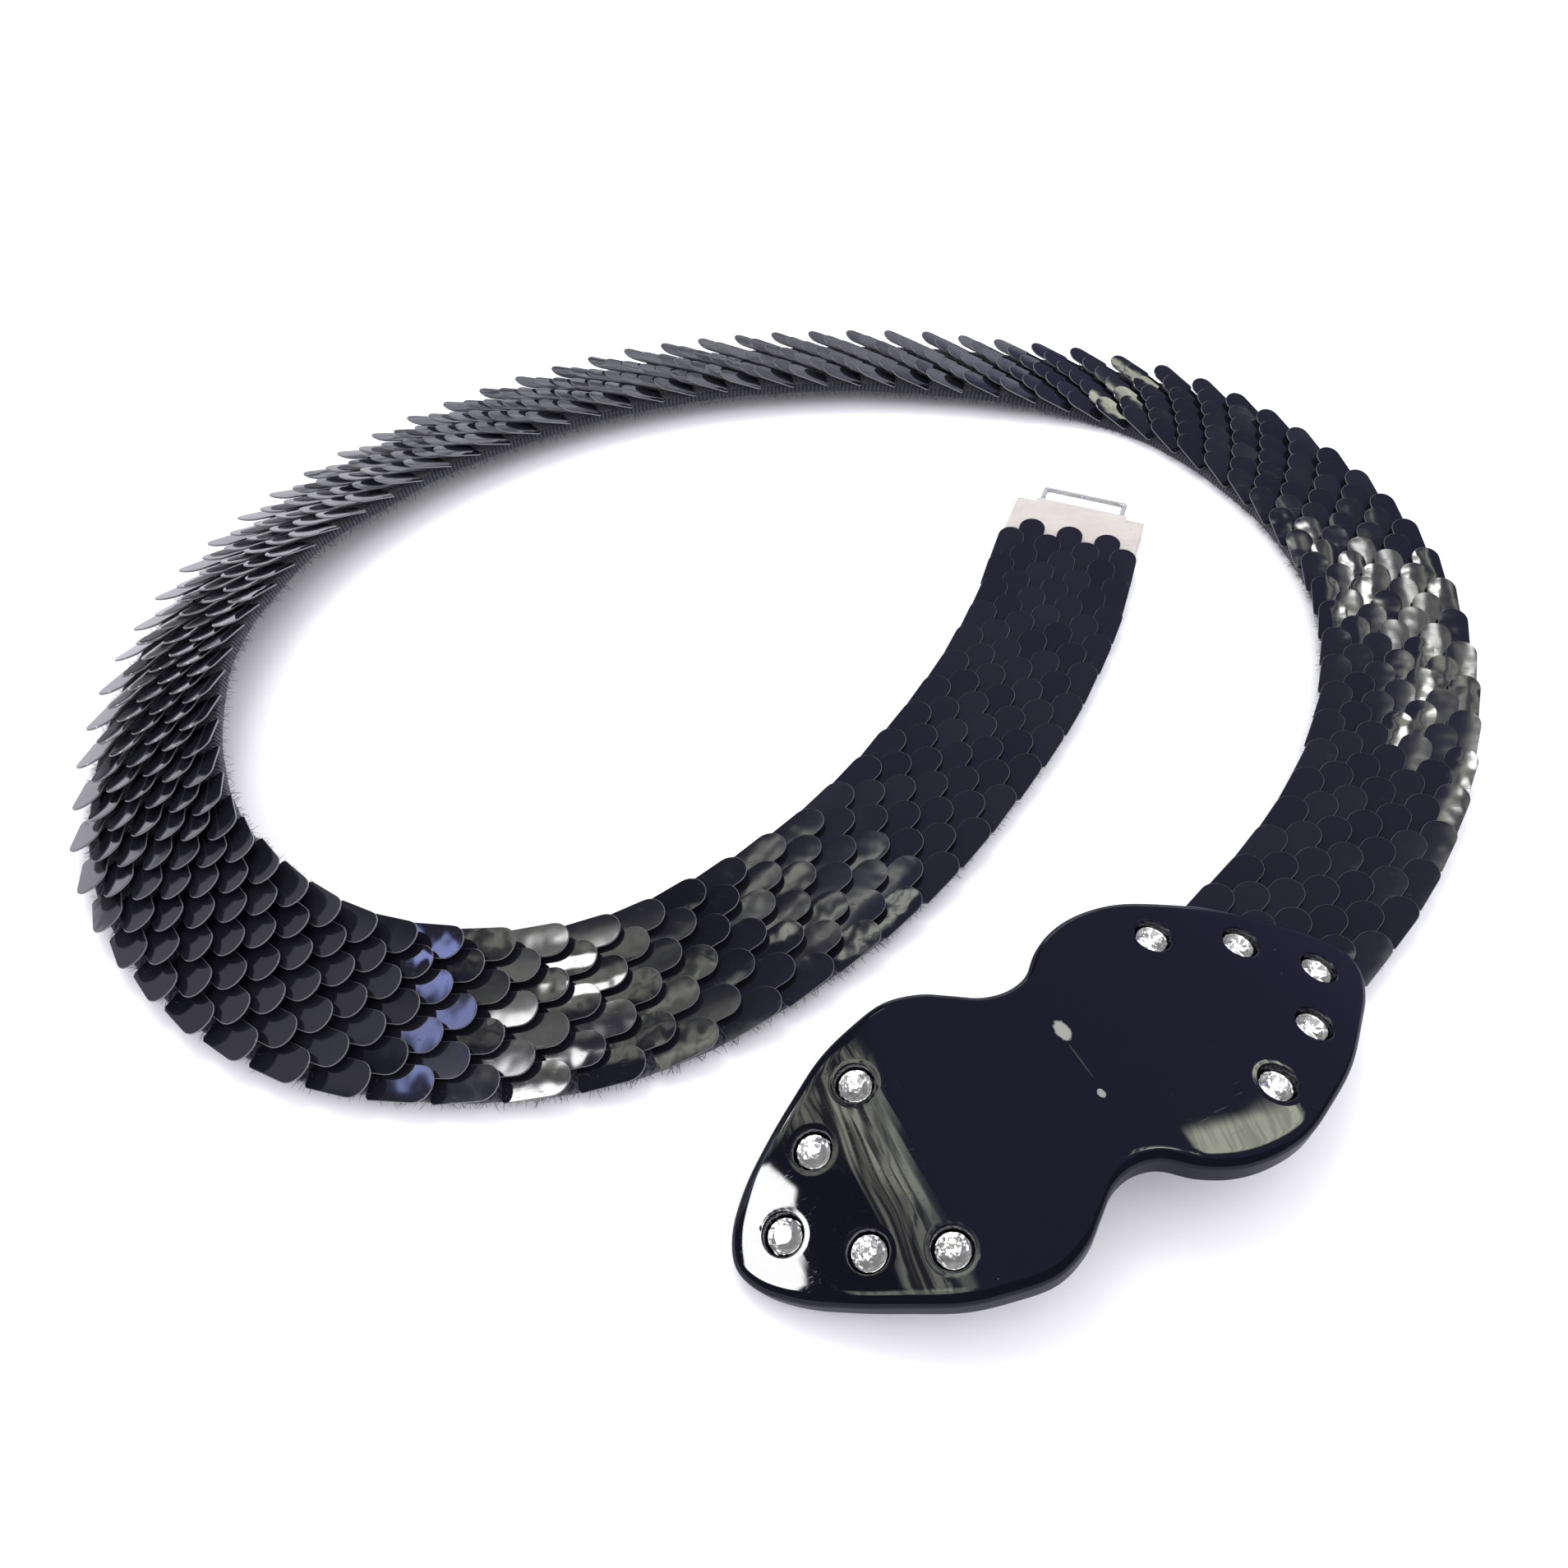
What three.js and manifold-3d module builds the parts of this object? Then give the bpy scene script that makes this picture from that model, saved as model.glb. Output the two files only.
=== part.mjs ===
// Stretch belt with overlapping scales and a bowed two-lobed medallion, lying open on a table.
// Millimetres, +Z up. The origin is the centre of the belt's footprint, on the table.
// The knit band runs anticlockwise from under the medallion to the metal end plate.
import * as THREE from 'three';
import { mergeVertices } from 'three/addons/utils/BufferGeometryUtils.js';
import Module from 'manifold-3d';

const manifold = await Module();
manifold.setup();

// Driving dimensions
const GAP = 0.3;
const BAND = { width: 27.8, thick: 2.6, corner: 0.7, step: 8, slope: 42 };
const SCALE = {
  pitch: 5.0,         // along the band, from row to row
  column: 4.1,        // across the band, from column to column
  overhang: 15.2,     // half width of a row that has the edge columns
  inset: 14.2,        // half width of a row that lacks them
  notch: 2.6,         // how far the valley beside a tip lies behind it
  base: 0.55,         // height of the tongues' roots above the field's underside
  reach: 10.0,        // free length of a tongue, which its lift turns into height
};
const FIELD = { start: 12.8, overEnd: 0.8, split: 421.5, seam: 0.45, gap: 0.55, rampFrom: 10, rampTo: 2 };
const PLATE = { thick: 4.8, bow: 161.7, crown: 17.2, round: 1.5, chamfer: 0.6, halfSteps: 27 };
const PLATE_POSE = { x: 46, y: -101.4, yaw: 27.1 };
const SEAT = { mouth: 3.25, throat: 2.7, ledge: 1.0, depth: 2.3, above: 1, sides: 12 };
const STONE = {
  table: 1.35, girdle: 2.4, top: 0.1, crown: 0.85, edge: 0.2, culet: 0.6, depth: 2.0, sides: 9,
};
const CATCH = { thick: 1.2, half: 8, from: -38, to: 19, bends: 12, hookHalf: 7, hookDrop: 3.2, hookLip: 5 };
const JAW = { half: 12, reach: 6.5, thick: 1.1 };
const POST = { half: 4, reach: 5, height: 1.9 };
const JOIN = 0.2;       // how far parts of one solid run into each other
const MERGE = 1e-4;     // points closer than this are one
const END = {
  width: 31, lap: 5, length: 11.3, sheet: 0.8, top: 3.7, foot: 0.3, round: 0.5, roundSteps: 2,
  tongue: 22, tongueReach: 1.5, loopWidth: 20.6, loopReach: 6.8,
  wire: 1.15, wireHeight: 2.9, wireBend: 0.8, wireRoot: 1, wireSteps: 20, wireSides: 8,
};

// The band's route over the table. Each row stands about 42 mm after the one before it.
// x, y: middle of the band. roll: degrees, positive where the inner edge is raised.
// lift: degrees that the scales stand off the band. skew: how far the inner columns run ahead, per mm across.
// rise: height of the band above the table. spread: how much wider than usual the columns of scales stand.
const ROUTE = [
  { x: 50.9, y: -97.7, roll: 0, lift: 4, skew: 0, rise: 5.6, spread: 1 },
  { x: 74, y: -78.3, roll: 0, lift: 4, skew: 0, rise: 0, spread: 1 },
  { x: 102.4, y: -46.2, roll: -2, lift: 5, skew: 0, rise: 0, spread: 1 },
  { x: 121.8, y: -8.1, roll: -5, lift: 9, skew: 0, rise: 0, spread: 1 },
  { x: 128.6, y: 33.9, roll: -6, lift: 12, skew: 0, rise: 0, spread: 1 },
  { x: 118.2, y: 75.4, roll: -4, lift: 14, skew: 0.05, rise: 0, spread: 1.01 },
  { x: 91, y: 110, roll: 0, lift: 16, skew: 0.15, rise: 0, spread: 1.01 },
  { x: 48.4, y: 121.4, roll: 5, lift: 18, skew: 0.3, rise: 1, spread: 1 },
  { x: 6, y: 123, roll: 7, lift: 18, skew: 0.3, rise: 1, spread: 1 },
  { x: -36.7, y: 113.7, roll: 8, lift: 18, skew: 0.3, rise: 1, spread: 1 },
  { x: -74.5, y: 93, roll: 10, lift: 18, skew: 0.3, rise: 0.5, spread: 1 },
  { x: -104.5, y: 62.5, roll: 14, lift: 17, skew: 0.25, rise: 0, spread: 1 },
  { x: -124, y: 24, roll: 19, lift: 15, skew: 0.25, rise: 0, spread: 1 },
  { x: -126.8, y: -18.5, roll: 24, lift: 13, skew: 0.25, rise: 0, spread: 0.98 },
  { x: -112.5, y: -60, roll: 21, lift: 12, skew: -0.05, rise: 0, spread: 0.97 },
  { x: -78.6, y: -86.8, roll: 13, lift: 11, skew: -0.17, rise: 0, spread: 0.98 },
  { x: -35.8, y: -87.4, roll: 7, lift: 10, skew: -0.03, rise: 0, spread: 0.98 },
  { x: 0.1, y: -64, roll: 3, lift: 6, skew: -0.03, rise: 0, spread: 0.99 },
  { x: 27.1, y: -30.9, roll: 1, lift: 5, skew: 0, rise: 0, spread: 1 },
  { x: 47.8, y: 6.4, roll: 0, lift: 4, skew: 0, rise: 0, spread: 1.04 },
  { x: 62.1, y: 46.5, roll: 0, lift: 4, skew: 0, rise: 0, spread: 1.08 },
];

// Where the rows of scales crowd together, between two distances along the band, and by how much in all.
const GATHERS = [
  { from: 330, to: 520, by: 4.5 },
  { from: 490, to: 650, by: 15 },
  { from: 600, to: 715, by: 15 },
];

// The medallion's outline, one half of it. along: from the crown, towards the band. half: half width.
const OUTLINE = [
  { along: -65.3, half: 0 },
  { along: -63.8, half: 4.3 },
  { along: -59.4, half: 9.0 },
  { along: -53.4, half: 13.2 },
  { along: -46.8, half: 17.1 },
  { along: -40.3, half: 20.6 },
  { along: -34.2, half: 22.5 },
  { along: -27.4, half: 23.6 },
  { along: -21.6, half: 22.0 },
  { along: -17.6, half: 19.4 },
  { along: -13.7, half: 16.9 },
  { along: -9.7, half: 16.1 },
  { along: -5.8, half: 17.0 },
  { along: -1.8, half: 20.2 },
  { along: 2.9, half: 22.5 },
  { along: 8.6, half: 23.5 },
  { along: 15.8, half: 22.9 },
  { along: 24.0, half: 19.9 },
  { along: 31.7, half: 16.3 },
  { along: 40.0, half: 10.8 },
  { along: 45.4, half: 6.9 },
  { along: 48.6, half: 3.5 },
  { along: 49.9, half: 0 },
];

// The stones' places on the medallion. side: distance to each side of the long axis, 0 for one stone.
const STONES = [
  { along: -57.0, side: 0 },
  { along: -47.8, side: 8.3 },
  { along: -37.7, side: 13.8 },
  { along: 40.6, side: 0 },
  { along: 30.7, side: 8.5 },
  { along: 17.2, side: 14.6 },
];

const MATERIAL = {
  knit: { color: 0x141417, roughness: 0.95, metalness: 0 },
  scale: { color: 0x0d0d14, roughness: 0.12, metalness: 0 },
  acrylic: { color: 0x0b0b12, roughness: 0.05, metalness: 0 },
  stone: { color: 0xe8eaf2, roughness: 0.05, metalness: 0.1 },
  steel: { color: 0x9a9a9a, roughness: 0.35, metalness: 1 },
  plate: { color: 0xe4e0d8, roughness: 0.4, metalness: 0.8 },
};

const radians = THREE.MathUtils.degToRad;
const group = new THREE.Group();

function addMesh(name, geometry, look) {
  geometry.computeVertexNormals();
  const mesh = new THREE.Mesh(geometry, new THREE.MeshStandardMaterial(MATERIAL[look]));
  mesh.name = name;
  group.add(mesh);
}

// Route of the band

const routeCurve = new THREE.CatmullRomCurve3(
  ROUTE.map((row) => new THREE.Vector3(row.x, row.y, 0)), false, 'catmullrom', 0.5,
);
const STEPS_PER_ROW = 40;
routeCurve.arcLengthDivisions = STEPS_PER_ROW * (ROUTE.length - 1);
const ROUTE_LENGTH = routeCurve.getLength();
const routeLengths = routeCurve.getLengths();
const rowPlaces = ROUTE.map((row, index) => routeLengths[index * STEPS_PER_ROW]);

function routeValue(column, along) {
  let index = 0;
  while (index < ROUTE.length - 2 && along > rowPlaces[index + 1]) {
    index += 1;
  }
  const span = rowPlaces[index + 1] - rowPlaces[index];
  const part = THREE.MathUtils.smoothstep(along - rowPlaces[index], 0, span);
  return THREE.MathUtils.lerp(ROUTE[index][column], ROUTE[index + 1][column], part);
}

// A point given by its distance along the band, across it (positive inwards) and above its underside.
function onBand(along, across, up) {
  const inside = THREE.MathUtils.clamp(along, 0, ROUTE_LENGTH);
  const middle = routeCurve.getPointAt(inside / ROUTE_LENGTH);
  const heading = routeCurve.getTangentAt(inside / ROUTE_LENGTH).normalize();
  middle.addScaledVector(heading, along - inside);
  const roll = radians(routeValue('roll', inside));
  const inward = across * Math.cos(roll) - up * Math.sin(roll);
  const edgeLift = Math.abs(Math.sin(roll)) * BAND.width / 2;
  const height = edgeLift + across * Math.sin(roll) + up * Math.cos(roll) + routeValue('rise', inside);
  return new THREE.Vector3(middle.x - heading.y * inward, middle.y + heading.x * inward, height);
}

// Closed meshes from a list of points and a list of triangles

function closedGeometry(points, triangles) {
  const positions = points.flatMap((point) => point.toArray());
  const volume = triangles.reduce((sum, [a, b, c]) => {
    const normal = new THREE.Vector3().crossVectors(points[b], points[c]);
    return sum + points[a].dot(normal);
  }, 0);
  const outward = volume > 0 ? triangles : triangles.map(([a, b, c]) => [a, c, b]);
  const geometry = new THREE.BufferGeometry();
  geometry.setAttribute('position', new THREE.Float32BufferAttribute(positions, 3));
  geometry.setIndex(outward.flat());
  return geometry;
}

function bridge(lower, upper, closed) {
  const triangles = [];
  const count = closed ? lower.length : lower.length - 1;
  for (let i = 0; i < count; i += 1) {
    const next = (i + 1) % lower.length;
    triangles.push([lower[i], lower[next], upper[next]], [lower[i], upper[next], upper[i]]);
  }
  return triangles;
}

// Knit elastic band: a flat ribbon with softened corners, swept along the route.

function knitBand(endAlong) {
  const half = BAND.width / 2;
  const { thick, corner } = BAND;
  const section = [
    [-half + corner, 0], [half - corner, 0], [half, corner], [half, thick - corner],
    [half - corner, thick], [-half + corner, thick], [-half, thick - corner], [-half, corner],
  ];
  const places = [0];
  while (places.at(-1) < endAlong) {
    const step = places.at(-1) < BAND.slope ? BAND.step / 2 : BAND.step;
    places.push(Math.min(places.at(-1) + step, endAlong));
  }
  const steps = places.length - 1;
  const points = places.flatMap((along) => section.map(([across, up]) => onBand(along, across, up)));
  const ring = (i) => section.map((_, side) => i * section.length + side);
  const triangles = [];
  for (let i = 0; i < steps; i += 1) {
    triangles.push(...bridge(ring(i), ring(i + 1), true));
  }
  for (const [place, flip] of [[0, true], [steps, false]]) {
    const corners = ring(place);
    for (let side = 1; side < corners.length - 1; side += 1) {
      const fan = [corners[0], corners[side], corners[side + 1]];
      triangles.push(flip ? fan.reverse() : fan);
    }
  }
  return closedGeometry(points, triangles);
}

// Scale field: rows of four and three tongues by turns, fused into one shingled skin.
// Each row's surface climbs from its root line to its tip line and drops to the next row's roots.

const COLUMNS = [-4, -3, -2, -1, 0, 1, 2, 3, 4];
const EDGE_COLUMN = 4;

function gathered(along) {
  return GATHERS.reduce((sum, { from, to, by }) => sum + by * THREE.MathUtils.smoothstep(along, from, to), 0);
}

function rowPlan(row) {
  const hasEdges = row % 2 !== 0;
  const evenAlong = FIELD.start + (row + 1) * SCALE.pitch;
  const tipAlong = evenAlong - gathered(evenAlong);
  return COLUMNS.map((column) => {
    const atEdge = Math.abs(column) === EDGE_COLUMN;
    const isTip = !atEdge && Math.abs(column) % 2 === (hasEdges ? 1 : 0);
    const edge = hasEdges ? SCALE.overhang : SCALE.inset;
    const across = atEdge ? Math.sign(column) * edge : column * SCALE.column;
    return { along: tipAlong - (isTip ? 0 : SCALE.notch), across, behind: isTip ? 0 : SCALE.notch };
  });
}

// The field lies on the knit, and steps up onto the end plate at the tail.
function fieldFloor(along) {
  const plateStart = ROUTE_LENGTH - END.lap;
  const onKnit = BAND.thick + FIELD.gap;
  const onPlate = END.top + GAP;
  const part = THREE.MathUtils.smoothstep(along, plateStart - FIELD.rampFrom, plateStart - FIELD.rampTo);
  return THREE.MathUtils.lerp(onKnit, onPlate, part);
}

function tipHeight(along, behind) {
  const lift = Math.sin(radians(routeValue('lift', along)));
  return SCALE.base + (SCALE.reach - behind) * lift;
}

// The underside between two lines of the field. Each line has its spots and the numbers of their points.
function undersideFaces(near, far) {
  const spots = [...near.spots, ...[...far.spots].reverse()];
  const corners = [...near.corners, ...[...far.corners].reverse()];
  const contour = spots.map((spot) => new THREE.Vector2(spot.across, spot.along));
  const faces = THREE.ShapeUtils.triangulateShape(contour, []);
  return faces.map(([a, b, c]) => [corners[a], corners[c], corners[b]]);
}

function scaleField(firstRow, lastRow, seam) {
  const points = [];
  const triangles = [];
  const place = (spot, height) => {
    const across = spot.across * routeValue('spread', spot.along);
    const along = spot.along + across * routeValue('skew', spot.along);
    points.push(onBand(along, across, fieldFloor(along) + height));
    return points.length - 1;
  };
  const line = (spots, height) => spots.map((spot) => place(spot, height(spot)));
  const atRoot = () => SCALE.base;
  const onFloor = () => 0;
  const atTip = (spot) => tipHeight(spot.along, spot.behind);

  const startPlan = rowPlan(firstRow - 1).map((spot) => ({ ...spot, along: spot.along + seam }));
  let roots = line(startPlan, atRoot);
  let near = { spots: startPlan, corners: line(startPlan, onFloor) };
  triangles.push(...bridge(near.corners, roots, false));

  for (let row = firstRow; row <= lastRow; row += 1) {
    const plan = rowPlan(row);
    const isLast = row === lastRow;
    const tips = line(plan, atTip);
    const below = line(plan, isLast ? onFloor : atRoot);
    triangles.push(...bridge(roots, tips, false), ...bridge(tips, below, false));
    const ends = [plan[0], plan.at(-1)];
    const far = isLast ? { spots: plan, corners: below } : { spots: ends, corners: line(ends, onFloor) };
    for (const [side, flip] of [[0, false], [-1, true]]) {
      const [nearFloor, farFloor] = [near.corners.at(side), far.corners.at(side)];
      const [root, tip, foot] = [roots.at(side), tips.at(side), below.at(side)];
      const wall = [[nearFloor, farFloor, isLast ? tip : foot], [nearFloor, isLast ? tip : foot, root]];
      if (!isLast) {
        wall.push([root, foot, tip]);
      }
      triangles.push(...wall.map((face) => (flip ? face : face.reverse())));
    }
    triangles.push(...undersideFaces(near, far));
    near = far;
    roots = below;
  }
  return closedGeometry(points, triangles);
}

// Manifold solids from closed meshes, and back

function toSolid(geometry) {
  const bare = geometry.index ? geometry.toNonIndexed() : geometry.clone();
  bare.deleteAttribute('normal');
  bare.deleteAttribute('uv');
  const merged = mergeVertices(bare, MERGE);
  return new manifold.Manifold(new manifold.Mesh({
    numProp: 3,
    vertProperties: new Float32Array(merged.attributes.position.array),
    triVerts: new Uint32Array(merged.index.array),
  }));
}

function fromSolid(solid) {
  const mesh = solid.getMesh();
  const geometry = new THREE.BufferGeometry();
  geometry.setAttribute('position', new THREE.BufferAttribute(new Float32Array(mesh.vertProperties), 3));
  geometry.setIndex(new THREE.BufferAttribute(new Uint32Array(mesh.triVerts), 1));
  return geometry;
}

function bentBy(geometry, mapping) {
  const position = geometry.attributes.position;
  for (let i = 0; i < position.count; i += 1) {
    const moved = mapping(position.getX(i), position.getY(i), position.getZ(i));
    position.setXYZ(i, moved.x, moved.y, moved.z);
  }
  return geometry;
}

// Medallion: a thick sheet bowed along its length, with a rounded rim and sunk round seats.

const medallionPlace = new THREE.Matrix4()
  .makeRotationZ(radians(PLATE_POSE.yaw))
  .setPosition(PLATE_POSE.x, PLATE_POSE.y, PLATE.crown);

// A point given along and across the medallion and above its top face, before it is placed.
function onBow(along, across, up) {
  const angle = along / PLATE.bow;
  const radius = PLATE.bow + up;
  return new THREE.Vector3(radius * Math.sin(angle), across, radius * Math.cos(angle) - PLATE.bow);
}

function onMedallion(along, across, up) {
  return onBow(along, across, up).applyMatrix4(medallionPlace);
}

function medallionOutline() {
  const knots = OUTLINE.map(({ along, half }) => new THREE.Vector2(along, half));
  const mirrored = knots.slice(1, -1).reverse().map((knot) => new THREE.Vector2(knot.x, -knot.y));
  const closed = [...knots, ...mirrored];
  const curve = new THREE.CatmullRomCurve3(
    closed.map((knot) => new THREE.Vector3(knot.x, knot.y, 0)), true, 'centripetal',
  );
  const upper = [];
  for (let i = 0; i <= PLATE.halfSteps; i += 1) {
    const point = curve.getPoint(i / PLATE.halfSteps * (knots.length - 1) / closed.length);
    upper.push(new THREE.Vector2(point.x, Math.max(point.y, 0)));
  }
  return upper;
}

function insetHalf(upper, inset) {
  return upper.map((point, i) => {
    const before = i > 0 ? upper[i - 1] : new THREE.Vector2(upper[1].x, -upper[1].y);
    const after = i < upper.length - 1 ? upper[i + 1] : new THREE.Vector2(upper.at(-2).x, -upper.at(-2).y);
    const heading = after.clone().sub(before).normalize();
    const across = Math.max(point.y - inset * heading.x, 0);
    return new THREE.Vector2(point.x + inset * heading.y, across);
  });
}

function medallionBody() {
  const upper = medallionOutline();
  const { thick, round, chamfer } = PLATE;
  const profile = [
    [chamfer, -thick], [0, -thick + chamfer], [0, -round],
    [round * (1 - Math.SQRT1_2), -round * (1 - Math.SQRT1_2)], [round, 0],
  ];
  const points = [];
  const rings = profile.map(([inset, up]) => {
    const half = insetHalf(upper, inset);
    const whole = [...half, ...half.slice(1, -1).reverse().map((spot) => new THREE.Vector2(spot.x, -spot.y))];
    return whole.map((spot) => points.push(onMedallion(spot.x, spot.y, up)) - 1);
  });
  const triangles = [];
  for (let i = 0; i < rings.length - 1; i += 1) {
    triangles.push(...bridge(rings[i], rings[i + 1], true));
  }
  const last = upper.length - 1;
  for (const [ring, flip] of [[rings.at(-1), false], [rings[0], true]]) {
    const partner = (i) => (i === 0 || i === last ? ring[i] : ring[ring.length - i]);
    for (let i = 0; i < last; i += 1) {
      const faces = [];
      if (i < last - 1) {
        faces.push([ring[i], ring[i + 1], partner(i + 1)]);
      }
      if (i > 0) {
        faces.push([ring[i], i < last - 1 ? partner(i + 1) : ring[last], partner(i)]);
      }
      triangles.push(...faces.map((face) => (flip ? face.reverse() : face)));
    }
  }
  return closedGeometry(points, triangles);
}

function stoneMatrices() {
  const sides = (side) => (side === 0 ? [0] : [side, -side]);
  const places = STONES.flatMap(({ along, side }) => sides(side).map((across) => [along, across]));
  return places.map(([along, across]) => {
    const tilt = new THREE.Matrix4().makeRotationY(along / PLATE.bow).setPosition(onBow(along, across, 0));
    return tilt.premultiply(medallionPlace);
  });
}

function lathe(profile, sides) {
  const geometry = new THREE.LatheGeometry(profile.map(([r, up]) => new THREE.Vector2(r, up)), sides);
  return geometry.rotateX(Math.PI / 2);
}

function medallion(matrices) {
  const seatProfile = [
    [0, -SEAT.depth], [SEAT.throat, -SEAT.depth], [SEAT.throat, -SEAT.ledge],
    [SEAT.mouth, 0], [SEAT.mouth, SEAT.above], [0, SEAT.above],
  ];
  let solid = toSolid(medallionBody());
  for (const matrix of matrices) {
    solid = solid.subtract(toSolid(lathe(seatProfile, SEAT.sides).applyMatrix4(matrix)));
  }
  return fromSolid(solid);
}

// Cut stones: a flat table, a ring of crown facets, a thin girdle and a blunt point below.

function cutStone(matrix) {
  const girdle = -STONE.top - STONE.crown;
  const profile = [
    [0, -STONE.depth], [STONE.culet, -STONE.depth], [STONE.girdle, girdle - STONE.edge],
    [STONE.girdle, girdle], [STONE.table, -STONE.top], [0, -STONE.top],
  ];
  return fromSolid(toSolid(lathe(profile, STONE.sides).applyMatrix4(matrix)));
}

// Back catch, hidden under the medallion: a bowed strip with a hook for the loop and jaws for the knit.

function boxBetween(low, high, cuts = [1, 1, 1]) {
  const size = high.map((value, axis) => value - low[axis]);
  const box = new THREE.BoxGeometry(...size, ...cuts);
  return box.translate(...low.map((value, axis) => value + size[axis] / 2));
}

function onMedallionBox(low, high, cuts) {
  return toSolid(bentBy(boxBetween(low, high, cuts), onMedallion));
}

function onBandBox(low, high) {
  return toSolid(bentBy(boxBetween(low, high), onBand));
}

function backCatch() {
  const stripTop = -PLATE.thick - GAP;
  const stripBase = stripTop - CATCH.thick;
  const hookBase = stripBase - CATCH.hookDrop;
  const hookBack = CATCH.from + CATCH.thick;
  const jawBase = -GAP - JAW.thick;
  const jawTop = BAND.thick + GAP + JAW.thick;
  const strip = onMedallionBox(
    [CATCH.from, -CATCH.half, stripBase], [CATCH.to, CATCH.half, stripTop], [CATCH.bends, 1, 1],
  );
  const hookWall = onMedallionBox(
    [CATCH.from, -CATCH.hookHalf, hookBase], [hookBack, CATCH.hookHalf, stripBase + JOIN],
  );
  const lipEnd = CATCH.from + CATCH.hookLip;
  const hookLip = onMedallionBox(
    [CATCH.from, -CATCH.hookHalf, hookBase], [lipEnd, CATCH.hookHalf, hookBase + CATCH.thick],
  );
  const jawStart = -GAP - JAW.thick;
  const endWall = onBandBox([jawStart, -JAW.half, jawBase], [-GAP, JAW.half, jawTop]);
  const upperJaw = onBandBox([jawStart, -JAW.half, jawTop - JAW.thick], [JAW.reach, JAW.half, jawTop]);
  const lowerJaw = onBandBox([jawStart, -JAW.half, jawBase], [JAW.reach, JAW.half, jawBase + JAW.thick]);
  const post = onBandBox([0, -POST.half, jawTop - JOIN], [POST.reach, POST.half, jawTop + POST.height]);
  const parts = [hookWall, hookLip, endWall, upperJaw, lowerJaw, post];
  return fromSolid(parts.reduce((sum, part) => sum.add(part), strip));
}

// End plate: a stamped metal cap over the band's tail, with a narrower tongue that carries a wire loop.

// The loop's wire runs out of the tongue, across and back, in the end plate's own plane.
function loopWire(rootAlong, barAlong) {
  const legSide = (END.loopWidth - END.wire) / 2;
  const bendAlong = barAlong - END.wireBend;
  const bendSide = legSide - END.wireBend;
  const at = (along, side) => new THREE.Vector3(along, side, END.wireHeight);
  const straight = (from, to) => new THREE.LineCurve3(from, to);
  const bent = (from, corner, to) => new THREE.QuadraticBezierCurve3(from, corner, to);
  const path = new THREE.CurvePath();
  path.add(straight(at(rootAlong, -legSide), at(bendAlong, -legSide)));
  path.add(bent(at(bendAlong, -legSide), at(barAlong, -legSide), at(barAlong, -bendSide)));
  path.add(straight(at(barAlong, -bendSide), at(barAlong, bendSide)));
  path.add(bent(at(barAlong, bendSide), at(barAlong, legSide), at(bendAlong, legSide)));
  path.add(straight(at(bendAlong, legSide), at(rootAlong, legSide)));
  const circle = new THREE.Path().absarc(0, 0, END.wire / 2, 0, 2 * Math.PI).getSpacedPoints(END.wireSides);
  const section = new THREE.Shape(circle.slice(0, END.wireSides));
  return new THREE.ExtrudeGeometry(section, { steps: END.wireSteps, extrudePath: path, bevelEnabled: false });
}

function endPlate() {
  const heading = routeCurve.getTangentAt(1).normalize();
  const tail = routeCurve.getPointAt(1);
  const turn = new THREE.Matrix4().makeRotationZ(Math.atan2(heading.y, heading.x)).setPosition(tail);
  const half = END.width / 2;
  const r = END.round;

  const outline = new THREE.Shape([
    [-END.lap, -half + r], [END.length - r, -half + r], [END.length - r, half - r], [-END.lap, half - r],
  ].map(([x, y]) => new THREE.Vector2(x, y)));
  const depth = END.top - END.foot - 2 * r;
  const bevel = { bevelEnabled: true, bevelThickness: r, bevelSize: r, bevelSegments: END.roundSteps };
  const slab = new THREE.ExtrudeGeometry(outline, { depth, ...bevel }).translate(0, 0, END.foot + r);
  const pocketHalf = half - END.sheet;
  const pocketFrom = -END.lap - 2 * r;
  const pocketTo = END.length - END.sheet;
  const pocket = boxBetween([pocketFrom, -pocketHalf, 0], [pocketTo, pocketHalf, END.top - END.sheet]);

  const tongueEdge = END.length + END.tongueReach;
  const tongueFoot = END.wireHeight - END.wire / 2;
  const tongueRoot = END.length - r - JOIN;
  const tongue = boxBetween([tongueRoot, -END.tongue / 2, tongueFoot], [tongueEdge, END.tongue / 2, END.top]);
  const wire = loopWire(tongueEdge - END.wireRoot, END.length + END.loopReach);

  const solid = toSolid(slab).subtract(toSolid(pocket)).add(toSolid(tongue)).add(toSolid(wire));
  return fromSolid(solid).applyMatrix4(turn);
}

// Assembly

const knitEnd = ROUTE_LENGTH + END.length - END.sheet - GAP;
const evenLength = ROUTE_LENGTH + FIELD.overEnd + gathered(Infinity) - FIELD.start;
const lastRow = Math.round(evenLength / SCALE.pitch) - 1;
const splitRow = Math.round((FIELD.split - FIELD.start) / SCALE.pitch);
const stonePlaces = stoneMatrices();

addMesh('knit_band', knitBand(knitEnd), 'knit');
addMesh('scales_head', scaleField(0, splitRow, 0), 'scale');
addMesh('scales_tail', scaleField(splitRow + 1, lastRow, FIELD.seam), 'scale');
addMesh('medallion', medallion(stonePlaces), 'acrylic');
stonePlaces.forEach((matrix, index) => {
  addMesh(`stone_${String(index + 1).padStart(2, '0')}`, cutStone(matrix), 'stone');
});
addMesh('back_catch', backCatch(), 'steel');
addMesh('end_plate', endPlate(), 'plate');

export default group;
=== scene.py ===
# %% [markdown]
# # A scaled stretch belt with a bowed medallion
# The belt is a ribbed elastic knit that carries rows of thin glossy plastic scales. One end is caught under a
# thick, bowed plate of black acrylic that holds ten cut stones. The other end has a stamped metal plate with a
# wire loop. It lies open on a pale table top, so every piece is modelled as it rests there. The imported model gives
# the frame: its one body, its record, and the plain solids that the finer pieces below stand for.

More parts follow.
